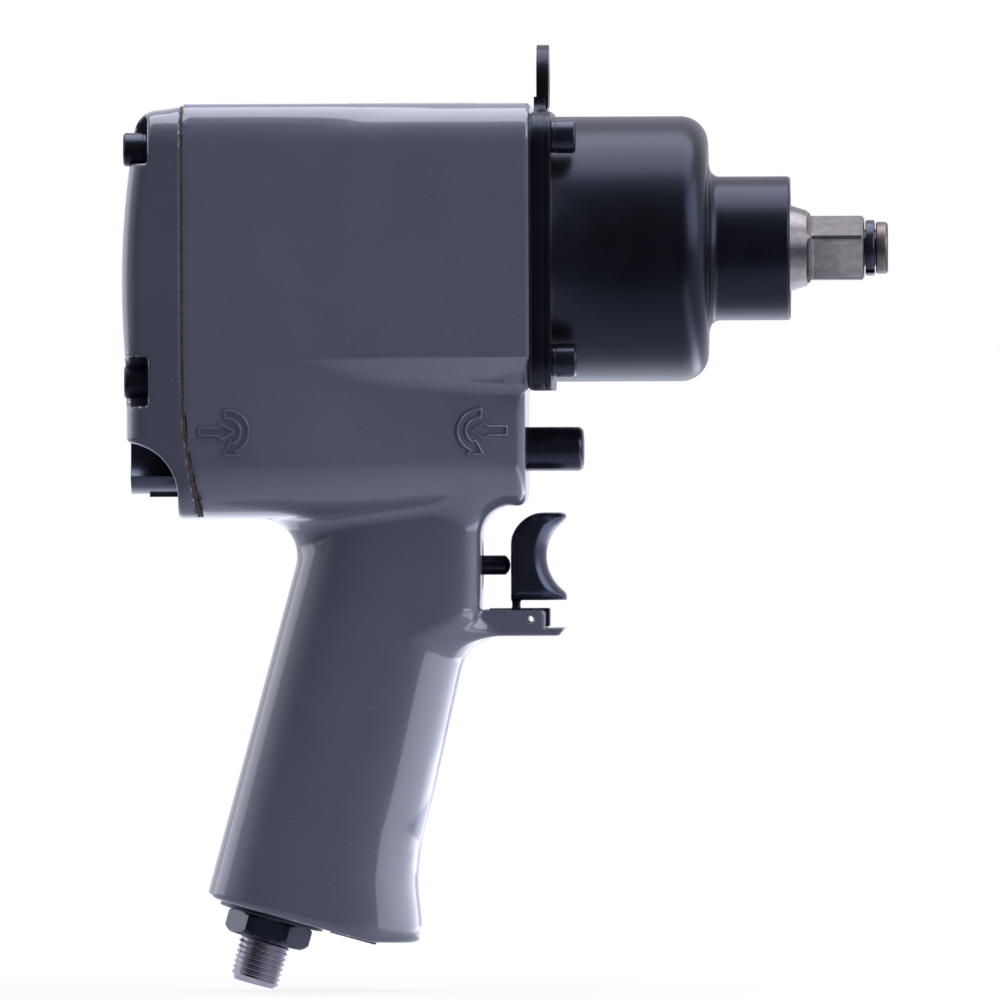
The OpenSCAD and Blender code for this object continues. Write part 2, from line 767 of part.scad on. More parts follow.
// A point on a level of the grip: a rounded oval, fuller than an ellipse.
function grip_point(level, angle) = [
    (level[0] + level[1]) / 2 + (level[1] - level[0]) / 2
        * sign(cos(angle)) * pow(abs(cos(angle)), 2 / grip_fullness),
    level[2] * sign(sin(angle)) * pow(abs(sin(angle)), 2 / grip_fullness),
    level[3]
];

// Faces of a closed sleeve through rings of n points each, with a flat cap at both ends.
function sleeve_faces(rings, n) = concat(
    [[for (i = [n - 1 : -1 : 0]) i]],
    [for (k = [0 : rings - 2], i = [0 : n - 1])
        [k * n + i, (k + 1) * n + (i + 1) % n, (k + 1) * n + i]],
    [for (k = [0 : rings - 2], i = [0 : n - 1])
        [k * n + i, k * n + (i + 1) % n, (k + 1) * n + (i + 1) % n]],
    [[for (i = [0 : n - 1]) (rings - 1) * n + i]]
);

// The bare form of the grip, joined from level to level.
module grip_form() {
    n = grip_sides;
    points = [for (level = grip_levels, i = [0 : n - 1]) grip_point(level, 360 * (i + 0.5) / n)];
    polyhedron(points, sleeve_faces(len(grip_levels), n));
}

// The grip cut to its slanting base, which flattens towards the front.
module grip() {
    toe_x = -70;
    bend_z = base_z - (base_bend_x - base_x) * tan(grip_rake);
    intersection() {
        grip_form();
        y_slab(2 * grip_base_w) polygon([
            [base_x - 30, base_z + 30 * tan(grip_rake)],
            [base_bend_x, bend_z],
            [toe_x, bend_z - (toe_x - base_bend_x) * tan(2)],
            [toe_x, 0],
            [base_x - 30, 0]
        ]);
    }
}

// The shelf under the trigger with its two ears and its lip.
module shelf() {
    back_x = -110;
    y_slab(shelf_w) polygon([
        [back_x, shelf_z],
        [-ear_front, shelf_z],
        [-ear_front, shelf_bottom_z + lip_t],
        [-lip_front, shelf_bottom_z + lip_t + 0.5],
        [-lip_front - 2.8, shelf_bottom_z],
        [back_x, shelf_bottom_z]
    ]);
}

// The rounded corner between the valve chest and the front of the grip.
module bay_corner() {
    y_slab(grip_w - 6) difference() {
        translate([-grip_front - 8, -chest_front_bottom - bay_r - 0.4])
            square([bay_r + 8, bay_r + 6]);
        translate([-grip_front + bay_r, -chest_front_bottom - bay_r - 0.4]) circle(bay_r);
    }
}

// The valve chest under the motor, wide at the rear seam and narrow at its front face.
module valve_chest() {
    hull() {
        x_slab(seam_x - 1, seam_x + 8) intersection() {
            rounded_rect([-body_w / 2 + 0.2, -chest_bottom], [body_w / 2 - 0.2, 10], chest_edge_r, $fn = 32);
            translate([-body_w, -100]) square([2 * body_w, 100]);
        }
        x_slab(body_x - 1.3, body_x - 1.2)
            rounded_rect([-chest_front_w / 2, -chest_front_bottom], [chest_front_w / 2, -10], 7, $fn = 32);
    }
}

module motor_housing() {
    color(gray_paint) difference() {
        union() {
            difference() {
                union() {
                    x_slab(seam_x - 1, body_x) body_outline();
                    valve_chest();
                }
                y_slab(2 * body_w) behind_seam(seam_x);
            }
            grip();
            shelf();
            bay_corner();
        }
        x_rod(seam_x - 9, motor_x, motor_bore_r);
        x_rod(web_x, body_x + 1, motor_bore_r);
        x_rod(motor_x - 1, body_x + 1, web_hole_r);
        x_rod(seam_x - 9, valve_front_x, valve_bushing_r, 0, valve_z);
        x_rod(valve_front_x - 1, body_x + 1, button_r + side_gap, 0, valve_z);
        x_rod(throttle_end_x, -grip_front + 5, throttle_bore_r, 0, rod_z);
        z_rod(rod_z, valve_z - valve_bushing_r + 1, 4, port_x);
        for (x = [motor_port_front_x, motor_port_back_x])
            z_rod(valve_z, -motor_bore_r + 1, 3, x);
        at_inlet() {
            translate([0, 0, -1]) cylinder(h = inlet_spigot_l + 3, r = inlet_spigot_r);
            cylinder(h = (rod_z - inlet_z) / cos(grip_rake), r = 5.6);
        }
        translate([exhaust_x, 0, exhaust_z]) rotate([0, grip_rake, 0])
            translate([-exhaust_l / 2, -exhaust_w / 2, -6])
                cube([exhaust_l, exhaust_w, exhaust_depth + 6]);
        y_slab(slot_w) polygon([
            [-grip_front + 0.6, shelf_z + 2],
            [-grip_front + 0.6, shelf_bottom_z + lip_t],
            [-lip_front + 2, shelf_bottom_z + lip_t],
            [-lip_front + 2, shelf_z + 2]
        ]);
        y_slab(2 * shelf_w) translate([pivot_x, pivot_z]) circle(pivot_r);
        at_case_screws() x_rod(body_x - case_screw_depth - 2, body_x + 1, screw_d / 2);
        at_rear_screws() x_rod(seam_x - 9, seam_x + cover_screw_depth + 2, screw_d / 2);
    }
}

module front_end_plate() {
    color(dark_steel) difference() {
        x_rod(liner_x, motor_x, motor_r);
        x_rod(motor_x - bearing_w, motor_x + 1, front_bearing_r);
        x_rod(liner_x - 1, motor_x, front_bearing_bore_r + 2);
        x_rod(liner_x - 1, liner_x + 8, liner_pin_r, 0, liner_top_wall_mid);
    }
}

module rear_end_plate() {
    color(dark_steel) difference() {
        x_rod(motor_back_x, liner_back_x, motor_r);
        x_rod(motor_back_x - 1, motor_back_x + bearing_w, rear_bearing_r);
        x_rod(motor_back_x, liner_back_x + 1, rear_bearing_bore_r + 2);
        x_rod(liner_back_x - 8, liner_back_x + 1, liner_pin_r, 0, liner_top_wall_mid);
    }
}

// The motor's cylinder, bored off centre, with a row of exhaust ports on each side.
module motor_liner() {
    color(bright_steel) difference() {
        x_rod(liner_back_x, liner_x, motor_r);
        x_rod(liner_back_x - 1, liner_x + 1, liner_bore_r, 0, -liner_offset);
        x_rod(liner_back_x - 1, liner_x + 1, liner_pin_r, 0, liner_top_wall_mid);
        for (x = [motor_port_front_x, motor_port_back_x])
            z_rod(-motor_bore_r - 1, 0, 3, x);
        for (i = [-2 : 2], side = [-1, 1])
            translate([(liner_x + liner_back_x) / 2 + i * 7, 0, -liner_offset])
                rotate([side * 90, 0, 0]) cylinder(h = motor_bore_r + 2, r = 2);
    }
}

// The dowel that keeps both end plates and the cylinder in line.
module liner_pin() {
    color(bright_steel)
        x_rod(liner_back_x - 7, liner_x + 7, liner_pin_r, 0, liner_top_wall_mid);
}

module rotor() {
    front_x = liner_x - rotor_end_gap;
    back_x = liner_back_x + rotor_end_gap;
    color(dark_steel) difference() {
        union() {
            x_rod(back_x, front_x, rotor_r);
            x_rod(front_x - 1, motor_x + 1, front_bearing_bore_r);
            x_rod(motor_back_x - 0.5, back_x + 1, rear_bearing_bore_r);
            x_slab(motor_x, cage_rear_x - pilot_depth - 1.5) spline_outline();
        }
        for (i = [0 : vane_count - 1])
            x_slab(back_x - 1, front_x + 1) rotate(i * 360 / vane_count)
                translate([-vane_t / 2, rotor_r - vane_slot_depth])
                    square([vane_t, vane_slot_depth + 1]);
    }
}

// The vanes, drawn in as they stand in their slots before air throws them out.
module rotor_vanes() {
    color(fibre) for (i = [0 : vane_count - 1])
        x_slab(liner_back_x + rotor_end_gap, liner_x - rotor_end_gap)
            rotate(i * 360 / vane_count)
                translate([-vane_t / 2 + running, rotor_r - vane_slot_depth + running])
                    square([vane_t - 2 * running, vane_slot_depth - 3 * running]);
}

// Profile of a bearing's race between two radii with its half round groove.
module race_profile(r0, r1, pitch_r, x) {
    difference() {
        translate([r0, x - bearing_w / 2]) square([r1 - r0, bearing_w]);
        translate([pitch_r, x]) circle(ball_groove_r);
    }
}

// The outer race and the balls of a bearing whose middle is at x.
module bearing(x, bore_r, outer_r) {
    pitch_r = (bore_r + outer_r) / 2;
    balls = floor(PI * pitch_r / ball_r * 0.6);
    color(bright_steel) {
        x_turn() race_profile(pitch_r + 1.2, outer_r, pitch_r, x);
        for (i = [0 : balls - 1])
            rotate([i * 360 / balls, 0, 0]) translate([x, 0, pitch_r]) sphere(ball_r);
    }
}

module inner_race(x, bore_r, outer_r) {
    pitch_r = (bore_r + outer_r) / 2;
    x_turn() race_profile(bore_r, pitch_r - 1.2, pitch_r, x);
}

module front_bearing() {
    bearing(front_bearing_x, front_bearing_bore_r, front_bearing_r);
}

module rear_bearing() {
    bearing(rear_bearing_x, rear_bearing_bore_r, rear_bearing_r);
}

module bearing_inner_races() {
    color(bright_steel) {
        inner_race(front_bearing_x, front_bearing_bore_r, front_bearing_r);
        inner_race(rear_bearing_x, rear_bearing_bore_r, rear_bearing_r);
    }
}

module rear_gasket() {
    color(fibre) difference() {
        intersection() {
            x_slab(seam_x - 5, seam_x + 10) rear_outline();
            y_slab(2 * body_w) behind_seam(seam_x);
        }
        y_slab(2 * body_w + 2) behind_seam(cover_x);
        x_rod(seam_x - 9, seam_x + 1, motor_bore_r);
        x_rod(seam_x - 9, seam_x + 9, valve_bushing_r, 0, valve_z);
        at_rear_screws() x_rod(seam_x - 9, seam_x + 9, screw_d / 2 + 0.2);
    }
}

// Points along an arc round (x, y) from one angle to another.
function arc_points(x, y, r, from, to, steps) = [
    for (i = [0 : steps]) let(a = from + (to - from) * i / steps) [x + r * cos(a), y + r * sin(a)]
];

// Profile of the rear cover in (x, z): a crowned back, a rounded top and the scoop below.
module cover_side_profile() {
    front_x = seam_x + 10;
    crown_z = -9;
    crown_x = cover_back_x + cover_crown_r;
    crown_low_z = -31;
    edge_up = cover_top - cover_edge_r - crown_z;
    edge_angle = asin(edge_up / (cover_crown_r - cover_edge_r));
    edge_x = crown_x - (cover_crown_r - cover_edge_r) * cos(edge_angle);
    low_angle = asin((crown_z - crown_low_z) / cover_crown_r);
    scoop_x = cover_back_x + 1.2;
    scoop_z = valve_z - scoop_r + 2.2;
    difference() {
        polygon(concat(
            [[front_x, -chest_bottom], [front_x, cover_top]],
            arc_points(edge_x, crown_z + edge_up, cover_edge_r, 90, 180 - edge_angle, 6),
            arc_points(crown_x, crown_z, cover_crown_r, 181 - edge_angle, 180 + low_angle, 10),
            [[crown_x - cover_crown_r * cos(low_angle), -chest_bottom]]
        ));
        translate([scoop_x, scoop_z]) circle(scoop_r);
        translate([cover_back_x - 5, -chest_bottom - 1])
            square([scoop_x + scoop_r - cover_back_x + 5, chest_bottom + 1 + scoop_z]);
    }
}

// Outline of the rear cover from above, in (x, y): straight sides and rounded rear edges.
module cover_top_profile() {
    side_y = body_w / 2 - cover_side_r;
    edge_x = cover_back_x - 0.6 + cover_side_r;
    polygon(concat(
        [[seam_x + 12, -body_w / 2 - 1], [seam_x + 12, body_w / 2 + 1], [edge_x + 2, body_w / 2 + 1]],
        arc_points(edge_x, side_y, cover_side_r, 90, 180, 6),
        arc_points(edge_x, -side_y, cover_side_r, 180, 270, 6),
        [[edge_x + 2, -body_w / 2 - 1]]
    ));
}

module rear_cover() {
    spigot_wall = 3.4;
    bearing_room_r = rear_bearing_bore_r + 9;
    color(gray_paint) difference() {
        union() {
            intersection() {
                x_slab(cover_back_x - 1, seam_x + 8) rear_outline();
                y_slab(2 * body_w) cover_side_profile();
                translate([0, 0, -90]) linear_extrude(140) cover_top_profile();
                y_slab(2 * body_w) behind_seam(cover_x);
            }
            x_rod(cover_x - 1, motor_back_x, motor_r);
        }
        x_rod(cover_x - 4, motor_back_x + 1, motor_r - spigot_wall);
        x_rod(cover_x - 8, cover_x, bearing_room_r);
        x_rod(cover_back_x - 5, pocket_x, pocket_r, 0, valve_z);
        x_rod(cover_back_x, seam_x + 9, tail_r + side_gap, 0, valve_z);
        at_rear_screws() {
            x_rod(cover_back_x, seam_x + 9, screw_d / 2 + 0.2);
            x_rod(cover_back_x - 2, rear_seat_x, screw_head_d / 2 + 1);
        }
        for (side = [-1, 1], z = [-rear_screw_bottom, rear_screw_top + 2.2])
            translate([cover_back_x - 2, side * (rear_screw_y + 10), z]) x_pocket(rear_screw_seat + 2);
    }
}

// The part of a screw's recess that opens to the side of the cover.
module x_pocket(depth) {
    half_h = screw_head_d / 2 + 1.6;
    rotate([90, 0, 90]) linear_extrude(depth) rounded_rect([-10, -half_h], [10, half_h], 1.5);
}

module rear_cover_screws() {
    seat_x = rear_seat_x - washer_t;
    color(black_oxide) at_rear_screws() translate([seat_x, 0, 0]) mirror([1, 0, 0])
        cap_screw(seam_x - seat_x + cover_screw_depth);
}

module rear_cover_washers() {
    color(black_oxide) at_rear_screws() translate([rear_seat_x - washer_t, 0, 0])
        spring_washer();
}

// The ported bushing that the reverse valve slides in.
module reverse_bushing() {
    color(bright_steel) difference() {
        x_tube(bushing_back_x, bushing_front_x, valve_bushing_r, spool_r + running, 0, valve_z);
        z_rod(valve_z - valve_bushing_r - 1, valve_z, 4, port_x);
        for (x = [motor_port_front_x, motor_port_back_x])
            z_rod(valve_z, valve_z + valve_bushing_r + 1, 3, x);
    }
}

// The reverse valve, pushed from its front button or from the knob behind.
module reverse_spool() {
    neck_r = button_r - 1.4;
    land = 8;
    color(black_oxide) difference() {
        union() {
            x_rod(spool_front_x - 1, -button_tip - 1.6, button_r, 0, valve_z);
            x_cone(-button_tip - 1.6, -button_tip, button_r, button_r - 2, 0, valve_z);
            x_rod(spool_back_x, spool_front_x, spool_r, 0, valve_z);
            x_rod(tail_back_x, spool_back_x + 1, tail_r, 0, valve_z);
        }
        for (x = [port_x, motor_port_back_x])
            x_tube(x - land, x + land, spool_r + 1, neck_r, 0, valve_z);
        ring_groove(button_ring_x, button_ring_r, valve_bead, valve_z);
        ring_groove(land_ring_x, land_ring_r, valve_bead, valve_z);
    }
}

// The two rubber rings that seal the reverse valve and hold it where it is put.
module spool_o_rings() {
    color(rubber) {
        o_ring(button_ring_x, button_ring_r, valve_bead, valve_z);
        o_ring(land_ring_x, land_ring_r, valve_bead, valve_z);
    }
}

// The power regulator's knob, with a waist for two fingers and a pointer below.
module regulator_knob() {
    waist_r = 9;
    color(black_oxide) difference() {
        union() {
            x_slab(knob_back_x, knob_front_x) translate([0, valve_z]) {
                difference() {
                    circle(knob_r);
                    for (side = [-1, 1])
                        translate([side * (waist_r + knob_r * 0.55), 0]) circle(waist_r);
                }
            }
            translate([knob_front_x - 7.8, -2, valve_z - knob_r - 0.8]) cube([7.8, 4, 3]);
        }
        x_rod(knob_back_x - 1, knob_front_x + 1, tail_r + running, 0, valve_z);
        x_rod(knob_back_x - 1, tail_back_x + side_gap, knob_screw_r + side_gap, 0, valve_z);
    }
}

module regulator_screw() {
    color(black_oxide) difference() {
        x_rod(tail_back_x - knob_screw_h, tail_back_x, knob_screw_r, 0, valve_z);
        translate([tail_back_x - knob_screw_h / 2 - 1, 0, valve_z])
            cube([knob_screw_h, 1.2, 2 * knob_screw_r + 1], center = true);
    }
}

// Profile of the trigger in (x, z): a rounded back and a hollow front for the finger.
module trigger_profile() {
    top_z = -trigger_top;
    tip_x = -63.2;
    bottom_z = -trigger_bottom;
    back_x = -trigger_back;
    back_r = 9;
    hollow_r = 11.2;
    hollow_x = -56.4;
    hollow_z = -78;
    difference() {
        union() {
            translate([back_x, bottom_z]) square([tip_x + 1 - back_x, top_z - back_r - bottom_z]);
            intersection() {
                translate([back_x + back_r, top_z - back_r]) circle(back_r);
                translate([back_x, top_z - back_r - eps]) square([back_r, back_r + eps]);
            }
            translate([back_x + back_r - eps, top_z - back_r - eps])
                square([tip_x - back_x - back_r, back_r + eps]);
        }
        translate([hollow_x, hollow_z]) circle(hollow_r);
        polygon([[tip_x, top_z + 1], [tip_x + 4, top_z + 1], [tip_x + 4, hollow_z],
            [tip_x - 2, hollow_z], [tip_x, top_z - 1.2]]);
    }
}

// Profile of the trigger's foot round its pin. Its heel rests on the lip and stops it.
module foot_profile() {
    heel = 2.1;
    polygon([
        [-grip_front + 1.5, shelf_z + 0.3],
        [-ear_front + 0.2, shelf_z + 0.3],
        [-ear_front + 1, shelf_z - 0.9],
        [-ear_front + 1, pivot_z - heel + 0.5],
        [-ear_front + 0.5, pivot_z - heel],
        [pivot_x - 0.6, pivot_z - heel],
        [-grip_front + 1.5, shelf_z - 1.3]
    ]);
}

module trigger() {
    pad_r = 4;
    color(black_oxide) difference() {
        union() {
            intersection() {
                y_slab(trigger_w) trigger_profile();
                x_slab(-trigger_back - 1, -lip_front + 2)
                    rounded_rect([-trigger_w / 2, -trigger_bottom], [trigger_w / 2, -trigger_top], pad_r);
            }
            y_slab(trigger_leg_w) translate([-trigger_back + 0.3, -trigger_bottom - 2.8])
                square([1.9, 4]);
            y_slab(trigger_leg_w) foot_profile();
        }
        y_slab(2 * shelf_w) translate([pivot_x, pivot_z]) circle(pivot_r + running);
    }
}

// The rolled spring pin, open along one side.
module trigger_pin() {
    color(bright_steel) difference() {
        y_slab(shelf_w) translate([pivot_x, pivot_z]) difference() {
            circle(pivot_r);
            circle(pivot_r - 0.45);
        }
        translate([pivot_x, 0, pivot_z + pivot_r]) cube([0.3, 2 * shelf_w, 1.2], center = true);
    }
}

// The rod that the trigger pushes into the grip. Its round tip rolls on the trigger's back.
module push_rod() {
    tip_x = -trigger_back - rod_tip_gap;
    stem_r = 1.8;
    color(black_oxide) difference() {
        union() {
            intersection() {
                x_rod(throttle_x - throttle_bushing_l - 1, tip_x, rod_r, 0, rod_z);
                union() {
                    translate([tip_x - rod_tip_r, 0, rod_z]) sphere(rod_tip_r);
                    x_rod(throttle_x - throttle_bushing_l - 2, tip_x - rod_tip_r, rod_r + 1, 0, rod_z);
                }
            }
            x_rod(valve_head_x - valve_head_t, throttle_x - throttle_bushing_l, stem_r, 0, rod_z);
        }
        ring_groove(rod_ring_x, rod_ring_r, rod_bead, rod_z);
    }
}

module push_rod_o_ring() {
    color(rubber) o_ring(rod_ring_x, rod_ring_r, rod_bead, rod_z);
}

module throttle_bushing() {
    color(bright_steel)
        x_tube(throttle_x - throttle_bushing_l, throttle_x, throttle_bore_r, rod_r + running, 0, rod_z);
}

module throttle_seat() {
    color(bronze) x_tube(throttle_seat_x - throttle_seat_t, throttle_seat_x, throttle_bore_r,
        throttle_bore_r - 2.2, 0, rod_z);
}

module throttle_valve() {
    color(rubber) x_tube(valve_head_x - valve_head_t, valve_head_x, valve_head_r, 1.8, 0, rod_z);
}

// A wire coil along -X from x0 to x1, swept through its turns with a ring of points each step.
module coil(x0, x1, coil_r, wire_r, turns, steps = 12, sides = 6) {
    n = turns * steps;
    function centre(i) = let(a = 360 * i / steps)
        [x0 + (x1 - x0) * i / n, coil_r * cos(a), coil_r * sin(a)];
    points = [for (i = [0 : n], k = [0 : sides - 1]) let(a = 360 * i / steps, b = 360 * k / sides)
        centre(i) + wire_r * (cos(b) * [0, cos(a), sin(a)] + sin(b) * [1, 0, 0])];
    polyhedron(points, sleeve_faces(n + 1, sides));
}

// The spring that closes the throttle and brings the trigger back.
module throttle_spring() {
    wire_r = 0.5;
    color(bright_steel) translate([0, 0, rod_z])
        coil(valve_head_x - valve_head_t - wire_r - 0.1, throttle_end_x + wire_r + 0.1,
            valve_head_r - 1.2, wire_r, 5);
}

module inlet_bushing() {
    hex_r = inlet_hex / 2 / cos(30);
    color(black_oxide) at_inlet() difference() {
        union() {
            intersection() {
                translate([0, 0, -inlet_washer_t - inlet_hex_h])
                    cylinder(h = inlet_hex_h, r = hex_r, $fn = 6);
                translate([0, 0, -inlet_washer_t - inlet_hex_h])
                    cylinder(h = inlet_hex_h + 1, r1 = inlet_hex / 2, r2 = inlet_hex / 2 + inlet_hex_h + 1);
            }
            translate([0, 0, -inlet_washer_t - eps])
                cylinder(h = inlet_spigot_l + inlet_washer_t, r = inlet_spigot_r);
        }
        translate([0, 0, -20]) cylinder(h = 40, r = inlet_shank_r);
    }
}

module inlet_washer() {
    color(black_oxide) at_inlet() difference() {
        translate([0, 0, -inlet_washer_t]) cylinder(h = inlet_washer_t, r = inlet_washer_d / 2);
        translate([0, 0, -inlet_washer_t - 1]) cylinder(h = inlet_washer_t + 2, r = inlet_spigot_r);
    }
}

// The threaded nipple that a hose coupling is screwed on.
module inlet_nipple() {
    end_z = -inlet_washer_t - inlet_hex_h - inlet_thread_l;
    color("#c9c6cc") at_inlet() difference() {
        union() {
            translate([0, 0, end_z + nipple_edge])
                cylinder(h = inlet_thread_l - nipple_edge, r = inlet_thread_d / 2);
            translate([0, 0, end_z + inlet_thread_l - eps])
                cylinder(h = inlet_hex_h + inlet_spigot_l - 1, r = inlet_shank_r);
            translate([0, 0, end_z])
                cylinder(h = nipple_edge, r1 = inlet_thread_d / 2 - nipple_edge, r2 = inlet_thread_d / 2);
        }
        translate([0, 0, end_z - 1]) cylinder(h = 50, r = inlet_bore_d / 2);
    }
}

// The strainer cup above the nipple.
module inlet_screen() {
    base_z = inlet_spigot_l - 2;
    color(bronze) at_inlet() difference() {
        translate([0, 0, base_z]) cylinder(h = 10, r = 5.2);
        translate([0, 0, base_z - 1]) cylinder(h = 10, r = 4.4);
    }
}

// The slotted plate under the exhaust in the front of the grip's base.
module exhaust_deflector() {
    color(black_oxide) translate([exhaust_x, 0, exhaust_z]) rotate([0, grip_rake, 0])
        translate([-exhaust_l / 2 + 0.2, -exhaust_w / 2 + 0.2, -0.6]) difference() {
            cube([exhaust_l - 0.4, exhaust_w - 0.4, deflector_t]);
            for (i = [0 : 2])
                translate([2.2 + i * 3, 3, -1]) cube([1.8, exhaust_w - 6.4, 3]);
        }
}

module exhaust_muffler() {
    color("#3a3a38") translate([exhaust_x, 0, exhaust_z]) rotate([0, grip_rake, 0])
        translate([-exhaust_l / 2 + 0.4, -exhaust_w / 2 + 0.4, 0.7])
            cube([exhaust_l - 0.8, exhaust_w - 0.8, exhaust_depth - 1.2]);
}

anvil();
socket_retainer();
retainer_o_ring();
anvil_bushing();
hammer_case();
hammer_case_screws();
hammer_case_washers();
hanger_plate();
front_gasket();
hammer_cage();
hammer_pins();
front_hammer();
rear_hammer();
motor_housing();
front_end_plate();
rear_end_plate();
motor_liner();
liner_pin();
rotor();
rotor_vanes();
front_bearing();
rear_bearing();
bearing_inner_races();
rear_gasket();
rear_cover();
rear_cover_screws();
rear_cover_washers();
reverse_bushing();
reverse_spool();
spool_o_rings();
regulator_knob();
regulator_screw();
trigger();
trigger_pin();
push_rod();
push_rod_o_ring();
throttle_bushing();
throttle_seat();
throttle_valve();
throttle_spring();
inlet_bushing();
inlet_washer();
inlet_nipple();
inlet_screen();
exhaust_deflector();
exhaust_muffler();
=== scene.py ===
import bpy
import bmesh
import json
import math
import numpy as np
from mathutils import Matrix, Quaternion, Vector
from mathutils.bvhtree import BVHTree


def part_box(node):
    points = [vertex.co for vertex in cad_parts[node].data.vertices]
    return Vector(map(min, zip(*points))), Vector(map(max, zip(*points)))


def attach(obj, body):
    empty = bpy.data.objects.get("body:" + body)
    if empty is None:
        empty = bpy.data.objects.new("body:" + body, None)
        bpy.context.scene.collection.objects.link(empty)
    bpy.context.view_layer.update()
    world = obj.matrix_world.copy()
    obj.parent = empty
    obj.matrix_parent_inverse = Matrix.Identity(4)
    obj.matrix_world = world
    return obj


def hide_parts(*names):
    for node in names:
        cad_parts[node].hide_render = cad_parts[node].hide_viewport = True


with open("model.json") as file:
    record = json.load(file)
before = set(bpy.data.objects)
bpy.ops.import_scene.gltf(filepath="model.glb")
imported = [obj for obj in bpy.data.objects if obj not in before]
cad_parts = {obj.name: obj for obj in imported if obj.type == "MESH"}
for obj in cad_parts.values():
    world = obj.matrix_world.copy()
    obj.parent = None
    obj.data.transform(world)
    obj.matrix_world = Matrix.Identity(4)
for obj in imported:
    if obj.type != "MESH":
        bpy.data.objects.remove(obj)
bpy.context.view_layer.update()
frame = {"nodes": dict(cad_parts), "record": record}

nodes = frame["nodes"]
mm = 0.001
print("frame loaded,", len(nodes), "nodes")


# colours and nodes

def linearColour(hexText):
    parts = [int(hexText[i:i + 2], 16) / 255 for i in (1, 3, 5)]
    return [p / 12.92 if p <= 0.04045 else ((p + 0.055) / 1.055) ** 2.4 for p in parts] + [1.0]


# adds one node: each setting goes to a property or an input, and a socket among them is linked to its input
def addNode(tree, kind, settings=None):
    node = tree.nodes.new(kind)
    for key, value in (settings or {}).items():
        if isinstance(value, bpy.types.NodeSocket):
            tree.links.new(value, node.inputs[key])
        elif isinstance(key, str) and key in node.bl_rna.properties:
            setattr(node, key, value)
        else:
            node.inputs[key].default_value = value
    return node


# the result of one Math node, whose values are numbers or sockets
def calculate(tree, operation, *values):
    return addNode(tree, "ShaderNodeMath", {"operation": operation, **dict(enumerate(values))}).outputs[0]


def startMaterial(name, settings):
    material = bpy.data.materials.new(name)
    material.use_nodes = True
    tree = material.node_tree
    tree.nodes.clear()
    output = addNode(tree, "ShaderNodeOutputMaterial")
    shader = addNode(tree, "ShaderNodeBsdfPrincipled", settings)
    tree.links.new(shader.outputs[0], output.inputs[0])
    place = addNode(tree, "ShaderNodeTexCoord").outputs["Object"]
    return material, tree, shader, place


# a patchy change between two colours, with features of the given size in millimetres
def mottled(tree, place, size, first, second):
    noise = addNode(tree, "ShaderNodeTexNoise", {"Scale": 1000 / size, "Detail": 3, "Vector": place})
    ramp = addNode(tree, "ShaderNodeValToRGB", {"Fac": noise.outputs[0]})
    for element, position, colour in zip(ramp.color_ramp.elements, (0.4, 0.6), (first, second)):
        element.position = position
        element.color = colour
    return ramp.outputs[0]


# makes one kind of finish: its shader, its patches, its specks and its relief
def makeFinish(name, look):
    material, tree, shader, place = startMaterial(name, look["shader"])
    colour = mottled(tree, place, look["patch"], linearColour(look["colour"]), linearColour(look["second"]))
    if "speck" in look:
        cells = addNode(tree, "ShaderNodeTexVoronoi", {"Scale": 1000 / look["speckSize"], "Vector": place})
        grey = addNode(tree, "ShaderNodeSeparateColor", {0: cells.outputs["Color"]})
        chosen = calculate(tree, "GREATER_THAN", grey.outputs[0], 1 - look["speckShare"])
        core = calculate(tree, "LESS_THAN", cells.outputs["Distance"], look["speckCore"])
        speck = calculate(tree, "MULTIPLY", chosen, core)
        colour = addNode(tree, "ShaderNodeMix", {"data_type": "RGBA", 0: speck, 6: colour,
                                                 7: linearColour(look["speck"])}).outputs[2]
    tree.links.new(colour, shader.inputs["Base Color"])
    relief = addNode(tree, "ShaderNodeTexNoise", {"Scale": 1000 / look["grain"], "Detail": 2, "Vector": place})
    height = relief.outputs[0]
    if "lines" in look:
        stretch = addNode(tree, "ShaderNodeMapping", {"Scale": look["lines"], "Vector": place}).outputs[0]
        scratch = addNode(tree, "ShaderNodeTexNoise", {"Scale": 1000, "Detail": 4, "Vector": stretch}).outputs[0]
        height = calculate(tree, "ADD", height, scratch)
        rough = look["shader"]["Roughness"]
        wear = addNode(tree, "ShaderNodeMapRange", {"To Min": rough - 0.08, "To Max": rough + 0.14, "Value": scratch})
        tree.links.new(wear.outputs[0], shader.inputs["Roughness"])
    bump = addNode(tree, "ShaderNodeBump", {"Strength": look["bump"], "Distance": look["depth"] * mm, "Height": height})
    tree.links.new(bump.outputs[0], shader.inputs["Normal"])
    return material


# a bluish tint on the reflections of the dark finishes: painted colour for the bluish light of the room
paintedReflectionTint = linearColour("#ccd5f8")
